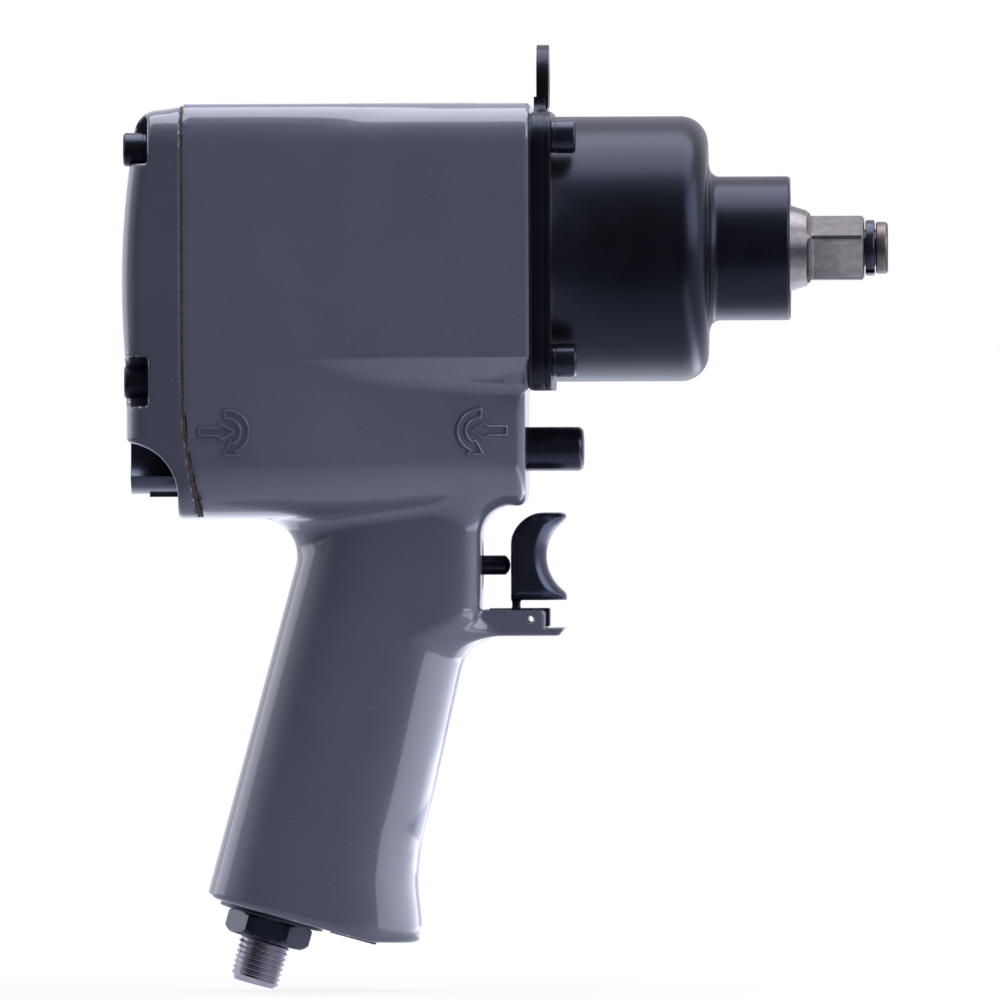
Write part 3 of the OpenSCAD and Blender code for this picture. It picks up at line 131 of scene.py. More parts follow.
# polyester enamel on an aluminium casting: glossy, faint orange peel, fine metal flakes
enamel = {"colour": "#494c59", "second": "#4b4e5b", "patch": 14, "speck": "#73788a", "speckSize": 0.34,
          "speckShare": 0.012, "speckCore": 0.32, "grain": 1.6, "bump": 0.06, "depth": 0.05,
          "shader": {"Roughness": 0.42, "Specular IOR Level": 0.4, "Coat Weight": 1.0, "Coat Roughness": 0.07}}
finishes = {
    "grayEnamel": enamel,
    # the same enamel on the cover, darkened as painted shade for the dimmer light on the tool's rear end
    "coverEnamelPaintedShade": {**enamel, "colour": "#3e414c", "second": "#40434e", "speck": "#6a6f80"},
    # satin black baking paint: broad soft highlights
    "satinBlack": {"colour": "#08090c", "second": "#0b0c10", "patch": 7, "grain": 0.5, "bump": 0.12, "depth": 0.03,
                   "shader": {"Roughness": 0.31, "Specular IOR Level": 0.34, "Specular Tint": paintedReflectionTint}},
    # black oxide on steel: dark, oily and fairly sharp
    "blackOxide": {"colour": "#0e0f13", "second": "#121318", "patch": 2.5, "grain": 0.35, "bump": 0.14, "depth": 0.02,
                   "shader": {"Roughness": 0.27, "Specular IOR Level": 0.6, "Specular Tint": paintedReflectionTint}},
    # moulded glass filled nylon: satin with a fine grain
    "blackNylon": {"colour": "#111217", "second": "#15161c", "patch": 5, "grain": 0.45, "bump": 0.18, "depth": 0.03,
                   "shader": {"Roughness": 0.27, "Specular IOR Level": 0.8, "Specular Tint": paintedReflectionTint}},
    # hardened tool steel, ground: warm gray with grinding lines round the axis
    "groundSteel": {"colour": "#6b6665", "second": "#75706f", "patch": 2.4, "grain": 0.6, "lines": (7, 1.3, 1.3),
                    "bump": 0.3, "depth": 0.014, "shader": {"Metallic": 1.0, "Roughness": 0.3}},
    # the end disc keeps the brown tint of tempering
    "temperedSteel": {"colour": "#5c5553", "second": "#67605f", "patch": 2, "grain": 0.6, "lines": (6, 1.5, 1.5),
                      "bump": 0.25, "depth": 0.014, "shader": {"Metallic": 1.0, "Roughness": 0.4}},
    "brightSteel": {"colour": "#a8a6a8", "second": "#b6b4b5", "patch": 4, "grain": 0.7, "lines": (2.5, 0.3, 0.3),
                    "bump": 0.2, "depth": 0.012, "shader": {"Metallic": 1.0, "Roughness": 0.26}},
    # oil quenched steel of the hammers and the rotor
    "darkSteel": {"colour": "#515257", "second": "#62636a", "patch": 5, "grain": 0.8, "lines": (2, 0.5, 0.5),
                  "bump": 0.2, "depth": 0.015, "shader": {"Metallic": 1.0, "Roughness": 0.38}},
    "castAluminium": {"colour": "#a4a5a8", "second": "#b2b3b6", "patch": 3, "grain": 0.6, "bump": 0.25, "depth": 0.03,
                      "shader": {"Metallic": 1.0, "Roughness": 0.42}},
    # zinc plated steel: bright, a little cloudy
    "zincPlate": {"colour": "#a29ca4", "second": "#aba5ad", "patch": 2, "grain": 0.5, "bump": 0.1, "depth": 0.012,
                  "shader": {"Metallic": 1.0, "Roughness": 0.2}},
    "bearingBronze": {"colour": "#96713f", "second": "#a98350", "patch": 2.5, "grain": 0.4, "lines": (3, 0.4, 0.4),
                      "bump": 0.2, "depth": 0.015, "shader": {"Metallic": 1.0, "Roughness": 0.36}},
    # nitrile rubber: dark and matt
    "nitrile": {"colour": "#101012", "second": "#18181a", "patch": 1.6, "grain": 0.25, "bump": 0.2, "depth": 0.02,
                "shader": {"Roughness": 0.55}},
    "phenolicLaminate": {"colour": "#5e3e24", "second": "#74502f", "patch": 1.2, "grain": 0.3, "lines": (0.4, 4, 4),
                         "bump": 0.2, "depth": 0.02, "shader": {"Roughness": 0.5}},
    # vulcanised fibre sheet, seen as a brown edge at the seam: its own brown, darkened further as painted shade for the
    # crease between the castings
    "fibreSheetAndSeamShade": {"colour": "#2a221b", "second": "#4c3d2f", "patch": 0.8, "grain": 0.2, "bump": 0.4, "depth": 0.05,
                   "shader": {"Roughness": 0.75}},
    "woolFelt": {"colour": "#2c2c2e", "second": "#3d3d3f", "patch": 0.5, "grain": 0.15, "bump": 0.6, "depth": 0.12,
                 "shader": {"Roughness": 0.95, "Sheen Weight": 0.4}},
}
finishOf = {name: makeFinish(name, look) for name, look in finishes.items()}
finishForSlot = {
    "anvil_steel": "groundSteel", "bright_steel": "brightSteel", "dark_steel": "darkSteel", "black_oxide": "blackOxide",
    "black_paint": "satinBlack", "gray_paint": "grayEnamel", "cast_aluminium": "castAluminium",
    "plated_steel": "zincPlate", "bronze": "bearingBronze", "rubber": "nitrile", "black_plastic": "blackNylon",
    # the fibre gasket's finish carries painted shade for the seam
    "laminate": "phenolicLaminate", "fibre_gasket": "fibreSheetAndSeamShade", "felt": "woolFelt",
}
slotOfNode = {row["node"]: row["material_slot"] for row in frame["record"]["subparts"]}
for name, obj in nodes.items():
    for materialSlot in obj.material_slots:
        materialSlot.material = finishOf[finishForSlot[slotOfNode[name]]]
print("finishes:", len(finishOf))


# pieces and meshes

def finishPiece(obj, node, finish=None, sharp=35):
    slotName = slotOfNode[node]
    obj.data.materials.clear()
    obj.data.materials.append(finishOf[finish or finishForSlot[slotName]])
    for face in obj.data.polygons:
        face.material_index = 0
        face.use_smooth = True
    obj.data.set_sharp_from_angle(angle=math.radians(sharp))
    body = next(b for b, held in frame["record"]["behaviour"]["bodies"].items() if node in held)
    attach(obj, body)
    return obj


def newObject(name, data):
    obj = bpy.data.objects.new(name, data)
    bpy.context.scene.collection.objects.link(obj)
    return obj


# an object from points in millimetres
def newPiece(name, points, faces):
    mesh = bpy.data.meshes.new(name)
    mesh.from_pydata([tuple(float(c) * mm for c in p) for p in points], [], [tuple(f) for f in faces])
    mesh.validate()
    return newObject(name, mesh)


def cleanUp(obj):
    work = bmesh.new()
    work.from_mesh(obj.data)
    bmesh.ops.remove_doubles(work, verts=work.verts, dist=0.002 * mm)
    bmesh.ops.recalc_face_normals(work, faces=work.faces)
    work.to_mesh(obj.data)
    work.free()
    return obj


def applyModifiers(obj):
    graph = bpy.context.evaluated_depsgraph_get()
    graph.update()
    mesh = bpy.data.meshes.new_from_object(obj.evaluated_get(graph))
    obj.modifiers.clear()
    old = obj.data
    obj.data = mesh
    bpy.data.meshes.remove(old)
    mesh.name = obj.name
    return obj


# a Geometry Nodes tree with named inputs for its sizes, in metres, and its material
def startTree(name, sizes):
    tree = bpy.data.node_groups.new(name, "GeometryNodeTree")
    tree.interface.new_socket("Geometry", in_out="INPUT", socket_type="NodeSocketGeometry")
    tree.interface.new_socket("Geometry", in_out="OUTPUT", socket_type="NodeSocketGeometry")
    for label in sizes:
        tree.interface.new_socket(label, in_out="INPUT", socket_type="NodeSocketFloat")
    tree.interface.new_socket("Material", in_out="INPUT", socket_type="NodeSocketMaterial")
    return tree, tree.nodes.new("NodeGroupInput").outputs


def endTree(tree, geometry, given):
    real = addNode(tree, "GeometryNodeRealizeInstances", {0: geometry})
    dressed = addNode(tree, "GeometryNodeSetMaterial", {"Geometry": real.outputs[0], "Material": given["Material"]})
    addNode(tree, "NodeGroupOutput", {0: dressed.outputs[0]})


# puts a tree on an object, sets its inputs by their identifiers, and keeps the result as a plain mesh
def grow(obj, tree, values):
    modifier = obj.modifiers.new(tree.name, "NODES")
    modifier.node_group = tree
    for item in tree.interface.items_tree:
        if item.item_type == "SOCKET" and item.in_out == "INPUT" and item.name in values:
            modifier[item.identifier] = values[item.name]
    return applyModifiers(obj)


# moves the meshes of several objects into the first one
def joinPieces(main, *others):
    work = bmesh.new()
    for obj in (main, *others):
        work.from_mesh(obj.data)
    work.to_mesh(main.data)
    work.free()
    for obj in others:
        bpy.data.objects.remove(obj)
    return main


# a copy of a CAD node with its points merged and its edges rounded
def softenedCopy(node, name, width):
    obj = newObject(name, nodes[node].data.copy())
    work = bmesh.new()
    work.from_mesh(obj.data)
    bmesh.ops.remove_doubles(work, verts=work.verts, dist=0.003 * mm)
    bmesh.ops.dissolve_limit(work, angle_limit=math.radians(1), verts=work.verts, edges=work.edges)
    work.to_mesh(obj.data)
    work.free()
    if obj.data.has_custom_normals:
        obj.data.attributes.remove(obj.data.attributes["custom_normal"])
    bevel = obj.modifiers.new("edges", "BEVEL")
    bevel.width = width * mm
    bevel.segments = 2
    bevel.limit_method = "ANGLE"
    bevel.angle_limit = math.radians(32)
    bevel.use_clamp_overlap = True
    return applyModifiers(obj)


# quads between rows of points that each close on themselves; the rows close too, or both ends are capped
def tubeFaces(rows, count, closed=False):
    faces = []
    for k in range(rows if closed else rows - 1):
        n = (k + 1) % rows
        for i in range(count):
            j = (i + 1) % count
            faces.append((k * count + i, k * count + j, n * count + j, n * count + i))
    if not closed:
        faces += [tuple(range(count)), tuple((rows - 1) * count + i for i in range(count))]
    return faces


# rings of points about an axis along X: each station is x and a radius, or a radius for each angle
def turnedPiece(name, stations, angles=96, closed=False, z=0):
    if isinstance(angles, int):
        angles = [2 * math.pi * i / angles for i in range(angles)]
    points = []
    for x, radius in stations:
        for a in angles:
            r = radius(a) if callable(radius) else radius
            points.append((x, r * math.sin(a), z + r * math.cos(a)))
    return cleanUp(newPiece(name, points, tubeFaces(len(stations), len(angles), closed)))


# the radius at each angle of a shape with flat sides, cut off at a limit
def flatsRadius(sides, turn, flat, limit):
    span = 360 / sides

    def radius(angle):
        local = (math.degrees(angle) - turn) % span
        return min(flat / math.cos(math.radians(min(local, span - local))), limit)
    return radius


# points along an arc in (x, radius), for profiles
def arcStations(x, r, radius, start, end, steps):
    angles = [math.radians(start + (end - start) * i / steps) for i in range(steps + 1)]
    return [(x + radius * math.cos(a), r + radius * math.sin(a)) for a in angles]


# distance fields, negative inside, for the castings and the moulded pieces

def roundedBox(u, v, halfU, halfV, r):
    a = np.abs(u) - halfU + r
    b = np.abs(v) - halfV + r
    return np.hypot(np.maximum(a, 0), np.maximum(b, 0)) + np.minimum(np.maximum(a, b), 0) - r


# joins two forms with a fillet of radius r
def joined(a, b, r):
    return np.maximum(r, np.minimum(a, b)) - np.hypot(np.maximum(r - a, 0), np.maximum(r - b, 0))


# keeps what is in both forms, with the edge between them rounded to radius r
def trimmed(a, b, r):
    return np.minimum(-r, np.maximum(a, b)) + np.hypot(np.maximum(r + a, 0), np.maximum(r + b, 0))


def eased(value, start, end):
    t = np.clip((value - start) / (end - start), 0, 1)
    return t * t * (3 - 2 * t)


# a table of (z, value) read as a smooth curve
def smoothTable(rows, blur=6):
    rows = sorted(rows)
    fine = np.arange(rows[0][0] - 20, rows[-1][0] + 20, 0.5)
    values = np.interp(fine, [r[0] for r in rows], [r[1] for r in rows])
    window = np.hanning(int(blur * 4) + 1)
    padded = np.pad(values, len(window) // 2, mode="edge")
    soft = np.convolve(padded, window / window.sum(), mode="valid")
    return lambda z: np.interp(z, fine, soft)


# grid lines from low to high, finer in the given spans
def gridLines(low, high, step, spans=()):
    lines = [low]
    while lines[-1] < high:
        here = lines[-1]
        finer = [s for a, b, s in spans if a <= here < b]
        lines.append(here + (min(finer) if finer else step))
    return np.array(lines)


# the closed skin where a field is zero, in quads, with its points drawn onto the field
def skinOfField(name, field, xs, ys, zs):
    gx, gy, gz = np.meshgrid(xs, ys, zs, indexing="ij")
    d = field(gx, gy, gz).astype(np.float32)
    inside = d < 0
    corners = [(i, j, k) for i in (0, 1) for j in (0, 1) for k in (0, 1)]

    def corner(a, c):
        return a[c[0]:a.shape[0] - 1 + c[0], c[1]:a.shape[1] - 1 + c[1], c[2]:a.shape[2] - 1 + c[2]]
    total = sum(corner(inside, c).astype(np.int8) for c in corners)
    cells = np.argwhere((total > 0) & (total < 8))
    number = -np.ones(total.shape, dtype=np.int64)
    number[tuple(cells.T)] = np.arange(len(cells))
    low = np.stack([xs[cells[:, 0]], ys[cells[:, 1]], zs[cells[:, 2]]], 1)
    size = np.stack([np.diff(xs)[cells[:, 0]], np.diff(ys)[cells[:, 1]], np.diff(zs)[cells[:, 2]]], 1)
    value = {c: d[cells[:, 0] + c[0], cells[:, 1] + c[1], cells[:, 2] + c[2]] for c in corners}
    place = np.zeros((len(cells), 3))
    hits = np.zeros(len(cells))
    for a in corners:
        for axis in range(3):
            if a[axis] == 0:
                b = tuple(1 if n == axis else a[n] for n in range(3))
                crossed = (value[a] < 0) != (value[b] < 0)
                t = np.where(crossed, value[a] / np.where(crossed, value[a] - value[b], 1), 0)
                point = np.array(a, dtype=float) + t[:, None] * (np.array(b, dtype=float) - np.array(a, dtype=float))
                place += np.where(crossed[:, None], point, 0)
                hits += crossed
    points = low + size * place / hits[:, None]
    faces = []
    for axis in range(3):
        u, v = (axis + 1) % 3, (axis + 2) % 3
        first = np.moveaxis(inside, axis, 0)[:-1]
        second = np.moveaxis(inside, axis, 0)[1:]
        change = np.moveaxis(first != second, 0, axis)
        edges = np.argwhere(change)
        edges = edges[(edges[:, u] > 0) & (edges[:, v] > 0) & (edges[:, u] < inside.shape[u] - 1)
                      & (edges[:, v] < inside.shape[v] - 1)]
        outward = inside[tuple(edges.T)]

        def cell(du, dv):
            e = edges.copy()
            e[:, u] -= du
            e[:, v] -= dv
            return number[tuple(e.T)]
        quad = np.stack([cell(1, 1), cell(0, 1), cell(0, 0), cell(1, 0)], 1)
        quad[~outward] = quad[~outward][:, ::-1]
        faces.append(quad)
    faces = np.concatenate(faces)
    reach = size.min(1)
    probe = 0.02
    for step in range(4):
        here = field(*points.T)
        slope = [field(*(points + shift).T) - field(*(points - shift).T) for shift in np.eye(3) * probe]
        slope = np.stack(slope, 1) / (2 * probe)
        steep = np.maximum((slope ** 2).sum(1), 0.05)
        move = -slope * (here / steep)[:, None]
        length = np.linalg.norm(move, axis=1)
        points = points + move * np.minimum(1, 0.4 * reach / np.maximum(length, 1e-6))[:, None]
    mesh = bpy.data.meshes.new(name)
    mesh.vertices.add(len(points))
    mesh.vertices.foreach_set("co", (points * mm).astype(np.float32).ravel())
    mesh.loops.add(4 * len(faces))
    mesh.loops.foreach_set("vertex_index", faces.astype(np.int32).ravel())
    mesh.polygons.add(len(faces))
    mesh.polygons.foreach_set("loop_start", np.arange(len(faces), dtype=np.int32) * 4)
    mesh.update(calc_edges=True)
    mesh.validate()
    return newObject(name, mesh)


# cuts plain rods and blocks out of a skin
def cutOut(obj, cutters):
    for cutter in cutters:
        boolean = obj.modifiers.new("cut", "BOOLEAN")
        boolean.operation = "DIFFERENCE"
        boolean.solver = "MANIFOLD"
        boolean.object = cutter
    applyModifiers(obj)
    for cutter in cutters:
        bpy.data.objects.remove(cutter)


def rodX(x0, x1, r, z=0, count=64):
    return turnedPiece("cutter", [(x0, r), (x1, r)], count, z=z)


# the main casting: motor barrel, valve chest, trigger shelf and grip

casting = {
    "front": -71.1, "chestFront": -72.45, "seam": -158.6, "seamRadius": 170, "top": 36.9, "halfWidth": 36.5,
    "edge": 11.0, "chestHalfFront": 25.2, "narrowFrom": -146, "narrowLength": 74, "softBend": 26, "facetTop": -27.4,
    "leanFrom": -130, "leanRear": 0.42, "leanFront": 1.35, "leanRate": 0.0158, "chestBottomRear": -68.1,
    "chestBottomFront": -65.2, "bottomEdgeRear": 18, "bottomEdgeFront": 12, "bottomEdgeFrom": -140.5,
    "bottomEdgeLength": 68.5, "gripBackX": -130.6, "gripBackZ": -77.0, "gripSlope": 15.3, "baseSlope": 15.5,
    "toeSlope": 2, "fullness": 2.7, "shelfTop": -91.6, "shelfBottom": -98.3, "shelfHalf": 12.5, "earFront": -67.8,
    "lipFront": -62.6, "lipMiddle": -97.3, "baseX": -153.79, "baseZ": -164.17, "bendX": -112.0,
}
gripFront = smoothTable([(-185, -100.6), (-176, -100.1), (-171.9, -99.7), (-166, -100.3), (-160.4, -100.9),
                         (-150.3, -99.8), (-137.5, -96.5), (-122.3, -93.0), (-108.3, -89.9), (-103.4, -88.6),
                         (-98, -86.0), (-93, -84.2), (-85, -83.9), (-60, -83.9)], 5)
gripHalf = smoothTable([(-185, 20.5), (-160.4, 20.5), (-150, 19.8), (-137.5, 19.3), (-122, 19), (-60, 19)], 12)


def seamLine(z):
    swing = np.clip(z + 30, -60, 0)
    return casting["seam"] + casting["seamRadius"] - np.sqrt(casting["seamRadius"] ** 2 - swing ** 2)


def gripField(x, y, z):
    c = casting
    back = c["gripBackX"] + (z - c["gripBackZ"]) * math.tan(math.radians(c["gripSlope"]))
    front = gripFront(z)
    half = gripHalf(z)
    # the grip stands out a little under the trigger bay, and is boxier beside it
    ledge = 0.35 * eased(x, -107, -90) * eased(-z, 91.2, 92.0) * (1 - eased(-z, 92, 112))
    p = c["fullness"] + 3.8 * eased(z, -101, -91) * eased(x, -106, -98)
    u = np.abs((x - (front + back) / 2) / ((front - back) / 2))
    v = np.abs(y / (half + ledge))
    return ((u ** p + v ** p) ** (1 / p) - 1) * (half + 2)


def castingField(x, y, z):
    c = casting
    # the chest's wall starts its narrowing in a soft bend
    run = np.clip(x - c["narrowFrom"], 0, c["narrowLength"])
    bent = np.where(run < c["softBend"], run * run / (2 * c["softBend"]), run - c["softBend"] / 2)
    drop = 0.05 + (c["halfWidth"] - c["chestHalfFront"]) * bent / (c["narrowLength"] - c["softBend"] / 2)
    # the barrel's side ends in a slanting facet that meets the chest's wall, and that leans more towards the front
    lean = np.clip(c["leanRear"] + c["leanRate"] * (x - c["leanFrom"]), c["leanRear"], c["leanFront"])
    wall = np.abs(y) - c["halfWidth"]
    slant = (wall + lean * (c["facetTop"] - z)) / np.hypot(1, lean)
    side = joined((wall + drop) * 0.98, trimmed(wall, slant, 0.3), np.minimum(1.6, 0.85 * drop))
    bottom = c["chestBottomFront"] + (c["chestBottomRear"] - c["chestBottomFront"]) * eased(-x, 84, 130)
    sharper = np.clip((x - c["bottomEdgeFrom"]) / c["bottomEdgeLength"], 0, 1)
    body = trimmed(side, z - c["top"], c["edge"])
    body = trimmed(body, bottom - z, c["bottomEdgeRear"] + (c["bottomEdgeFront"] - c["bottomEdgeRear"]) * sharper)
    front = c["chestFront"] + (c["front"] - c["chestFront"]) * eased(z, -36.6, -34.8)
    body = trimmed(body, x - front, 0.8 + 1.6 * eased(-z, 36, 40))
    body = trimmed(body, seamLine(z) - x, 0.35)
    grip = np.maximum(gripField(x, y, z), z + 60)
    # a small fillet along the flanks and a large one round the grip's back
    form = joined(body, grip, 3.0 + 4.5 * eased(x, -98, -85) + 9.5 * eased(-x, 102, 128) * eased(-np.abs(y), -24, -3))
    shelf = roundedBox(y, z - (c["shelfTop"] + c["shelfBottom"]) / 2, c["shelfHalf"],
                       (c["shelfTop"] - c["shelfBottom"]) / 2, 0.9)
    shelf = trimmed(shelf, x - c["earFront"], 1.0)
    shelf = np.maximum(shelf, -108 - x)
    form = joined(form, shelf, 0.8 + 5.4 * eased(-z, 93, 97.5))
    lip = roundedBox(y, z - c["lipMiddle"], c["shelfHalf"], 1.0, 0.7)
    lip = trimmed(lip, (x - c["lipFront"]) * 0.75 + (-96.2 - z) * 0.66, 0.5)
    form = np.minimum(form, np.maximum(lip, -80 - x))
    slope = math.tan(math.radians(c["baseSlope"]))
    rearBase = c["baseZ"] - (x - c["baseX"]) * slope - z
    bend = c["baseZ"] - (c["bendX"] - c["baseX"]) * slope
    toeBase = bend - (x - c["bendX"]) * math.tan(math.radians(c["toeSlope"])) - z
    base = np.where(x < c["bendX"], rearBase, toeBase) * 0.97
    return trimmed(form, base, 1.3)


print("casting: measuring the form")
castingPiece = skinOfField(
    "motorHousing", castingField,
    gridLines(-162, -60, 0.95, [(-74.5, -60.5, 0.5)]),
    gridLines(-38.9, 39, 0.95, [(-14, 14, 0.6)]),
    gridLines(-179, 39, 0.95, [(-100, -90, 0.45)]))
print("casting:", len(castingPiece.data.polygons), "faces")

# the bores and pockets that the mechanism sits in, from the CAD part's own sizes
bores = {"motor": 31.0, "valve": 9.0, "button": 5.9, "throttle": 6.5, "valveZ": -50.8, "rodZ": -80.3, "pin": 1.25,
         "pinX": -71.6, "pinZ": -94.0, "slotHalf": 5.3, "inletX": -137.8, "inletZ": -168.6, "inletR": 8.6}


def boxPiece(name, low, high):
    points = [[high[k] if i >> k & 1 else low[k] for k in range(3)] for i in range(8)]
    return newPiece(name, points, [(0, 2, 3, 1), (4, 5, 7, 6), (0, 1, 5, 4), (2, 6, 7, 3), (0, 4, 6, 2), (1, 3, 7, 5)])


# turns a piece made along X, or along another start, so that it runs along a direction
def turnTo(obj, direction, origin, start=(1, 0, 0)):
    turn = Vector(start).rotation_difference(Vector(direction)).to_matrix().to_4x4()
    turn.translation = Vector(origin) * mm
    obj.data.transform(turn)
    return obj


baseTilt = math.radians(casting["baseSlope"])
inletWay = (-math.sin(baseTilt), 0, -math.cos(baseTilt))
inletPlace = (bores["inletX"], 0, bores["inletZ"])
cutOut(castingPiece, [
    rodX(-168, -78, bores["motor"]), rodX(-74.1, -60, bores["motor"]), rodX(-79, -60, 15, count=48),
    rodX(-168, -84.1, bores["valve"], z=bores["valveZ"]), rodX(-85, -60, bores["button"], z=bores["valveZ"]),
    rodX(-117.1, -79, bores["throttle"], z=bores["rodZ"]),
    turnTo(rodX(-20, 20, bores["pin"], count=32), (0, 1, 0), (bores["pinX"], 0, bores["pinZ"])),
    boxPiece("slot", (-83.4, -bores["slotHalf"], -96.4), (-58, bores["slotHalf"], -88)),
    turnTo(rodX(-12, 4, bores["inletR"]), inletWay, inletPlace),
])
print("casting: bores cut,", len(castingPiece.data.polygons), "faces")
finishPiece(castingPiece, "motor_housing")
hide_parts("motor_housing")

# cast signs for the direction of turning: a straight arrow with a curved arrow round it, both as raised outlines

signs = {"centreX": -147.45, "centreZ": -46.0, "mirrorX": -84.15, "outer": 5.35, "inner": 3.3, "line": 0.62,
         "height": 0.55}
castingSkin = BVHTree.FromPolygons([v.co for v in castingPiece.data.vertices],
                                   [tuple(f.vertices) for f in castingPiece.data.polygons])


# a raised line along a closed outline in (x, z), on the casting's right (-1) or left (1) side
def raisedLine(name, outline, side):
    points = []
    count = len(outline)
    for i in range(count):
        here = Vector(outline[i])
        into = (here - Vector(outline[i - 1])).normalized()
        onward = (Vector(outline[(i + 1) % count]) - here).normalized()
        across = Vector((-(into + onward).y, (into + onward).x)).normalized()
        stretch = 1 / max(0.45, across.dot(Vector((-onward.y, onward.x))))
        for offset, lift in ((-0.55, -0.5), (-0.44, 0.85), (-0.2, 1.0), (0.2, 1.0), (0.44, 0.85), (0.55, -0.5)):
            spot = here + across * (offset * signs["line"] * stretch)
            hit = castingSkin.ray_cast(Vector((spot.x * mm, side * 0.07, spot.y * mm)), Vector((0, -side, 0)))[0]
            points.append((spot.x, hit.y / mm + side * signs["height"] * lift, spot.y))
    return cleanUp(newPiece(name, points, tubeFaces(count, 6, closed=True)))


straightArrow = [(-7.05, 1.0), (-2.35, 1.0), (-1.4, 1.9), (1.8, 0.0), (-1.4, -1.9), (-2.35, -1.0), (-7.05, -1.0)]
sweep = [math.radians(98 - k * 166 / 24) for k in range(25)]
curvedArrow = [(signs["outer"] * math.cos(a), signs["outer"] * math.sin(a)) for a in sweep]
curvedArrow += [(2.8, -6.0), (-0.95, -5.75), (0.75, -2.6)]
curvedArrow += [(signs["inner"] * math.cos(a), signs["inner"] * math.sin(a)) for a in reversed(sweep[:-1])]
for side, sideName in ((-1, "Right"), (1, "Left")):
    for flip, place, placeName in ((1, signs["centreX"], "Rear"), (-1, signs["mirrorX"], "Front")):
        lines = []
        for sign in (straightArrow, curvedArrow):
            outline = [(place + flip * u, signs["centreZ"] + v) for u, v in sign]
            lines.append(raisedLine("turnSign" + placeName + sideName, outline, side))
        finishPiece(joinPieces(*lines), "motor_housing", sharp=50)
print("direction signs raised")

# the bare pad on top of the barrel: a raised rim round a plain field
pad = {"x": -101.35, "halfX": 16.55, "halfY": 9.0, "corner": 4.0, "rim": 1.3, "height": 0.35, "sink": 0.15}
padRings = []
for inset, z in ((0.0, -0.3), (0.0, pad["height"] - 0.15), (0.15, pad["height"]), (pad["rim"], pad["height"]),
                 (pad["rim"] + 0.2, pad["height"] - pad["sink"])):
    for quarter in range(4):
        cx = (pad["halfX"] - pad["corner"]) * (1 if quarter in (0, 3) else -1)
        cy = (pad["halfY"] - pad["corner"]) * (1 if quarter in (0, 1) else -1)
        for i in range(9):
            a = math.radians(90 * quarter + 90 * i / 8)
            r = pad["corner"] - inset
            padRings.append((pad["x"] + cx + r * math.cos(a), cy + r * math.sin(a), casting["top"] + z))
finishPiece(cleanUp(newPiece("namePad", padRings, tubeFaces(5, 36))), "motor_housing", sharp=40)

# the rear cover: crowned back, four screw notches, the scoop and the room for the regulator knob

cover = {"back": -175.25, "crown": 220.0, "crownZ": -9.0, "crownLow": -31.0, "sideCrown": 420.0, "gasket": 0.65,
         "fallFrom": -160.5, "fall": 0.496, "fallPower": 0.55, "screwTop": 27.7, "screwBottom": -33.3, "seat": -167.45,
         "notchHalf": 5.85, "notchIn": 21.7, "scoopX": -174.05, "scoopZ": -62.5, "scoop": 13.9, "knobRoom": 12.6,
         "knobRoomX": -160.45}


def coverField(x, y, z):
    c = cover
    highest, lowest = casting["top"], casting["chestBottomRear"]
    top = highest - c["fall"] * np.maximum(c["fallFrom"] - x, 0) ** c["fallPower"]
    form = roundedBox(y, z - (highest + lowest) / 2, casting["halfWidth"] - 0.1, (highest - lowest) / 2,
                      casting["edge"])
    form = trimmed(form, z - top, 2.5)
    rise = np.maximum(z, c["crownLow"]) - c["crownZ"]
    back = c["back"] + rise ** 2 / (2 * c["crown"]) + y ** 2 / (2 * c["sideCrown"])
    form = trimmed(form, back - x, 4.6)
    form = trimmed(form, x - (seamLine(z) - c["gasket"]), 0.35)
    circle = np.hypot(x - c["scoopX"], z - c["scoopZ"]) - c["scoop"]
    behind = np.maximum(x - (c["scoopX"] + c["scoop"]), z - c["scoopZ"])
    form = trimmed(form, -np.minimum(circle, behind), 1.0)
    for level, half in ((c["screwTop"], c["notchHalf"]), (c["screwBottom"], c["notchHalf"] + 0.3)):
        notch = roundedBox(np.abs(y) - (c["notchIn"] + 15), z - level, 15, half, 5.2)
        notch = np.where(np.abs(y) > 30, np.abs(z - level) - half, notch)
        notch = trimmed(notch, x - c["seat"], 0.8)
        form = trimmed(form, -notch, 0.7)
    room = np.maximum(np.hypot(y, z - bores["valveZ"]) - c["knobRoom"], x - c["knobRoomX"])
    return trimmed(form, -room, 0.8)


coverPiece = skinOfField("rearCover", coverField, gridLines(-177, -152, 0.55), gridLines(-38.1, 38.2, 0.7),
                         gridLines(-70.1, 39, 0.7))
spigot = turnedPiece("spigot", [(-160.2, 27.55), (-160.2, 30.95), (-157.5, 30.95), (-157.5, 27.55)], 96, closed=True)
cutOut(coverPiece, [rodX(-170, -150, 4.3, z=bores["valveZ"])])
joinPieces(coverPiece, spigot)
# the cover takes the darkened enamel: painted shade for the dimmer light at the rear
finishPiece(coverPiece, "rear_cover", finish="coverEnamelPaintedShade")
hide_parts("rear_cover")
print("rear cover:", len(coverPiece.data.polygons), "faces")

# the hammer case: turned nose and drum with a square flange

case = {"nose": -5.3, "face": -26.2, "flange": -65.6, "back": -67.2, "noseR": 18.3, "drumR": 33.7, "edge": 7.0,
        "root": 2.6, "bore": 14.05, "inside": 30.2, "plateHalf": 35.5, "plateTop": 34.7, "plateBottom": -36.0,
        "plateCorner": 8.7}
c = case
outside = [(c["nose"], c["bore"] + 0.5)]
outside += arcStations(c["nose"] - 0.9, c["noseR"] - 0.9, 0.9, 0, 90, 5)
outside += arcStations(c["face"] + c["root"] + 0.35, c["noseR"] + c["root"], c["root"], 270, 186, 8)
outside += [(c["face"] + 0.25, c["noseR"] + c["root"] + 0.15), (c["face"] - 0.05, c["noseR"] + c["root"] + 0.25),
            (c["face"], c["noseR"] + c["root"] + 0.8)]
outside += [(c["face"], c["drumR"] - c["edge"])]
outside += arcStations(c["face"] - c["edge"], c["drumR"] - c["edge"], c["edge"], 2, 90, 16)
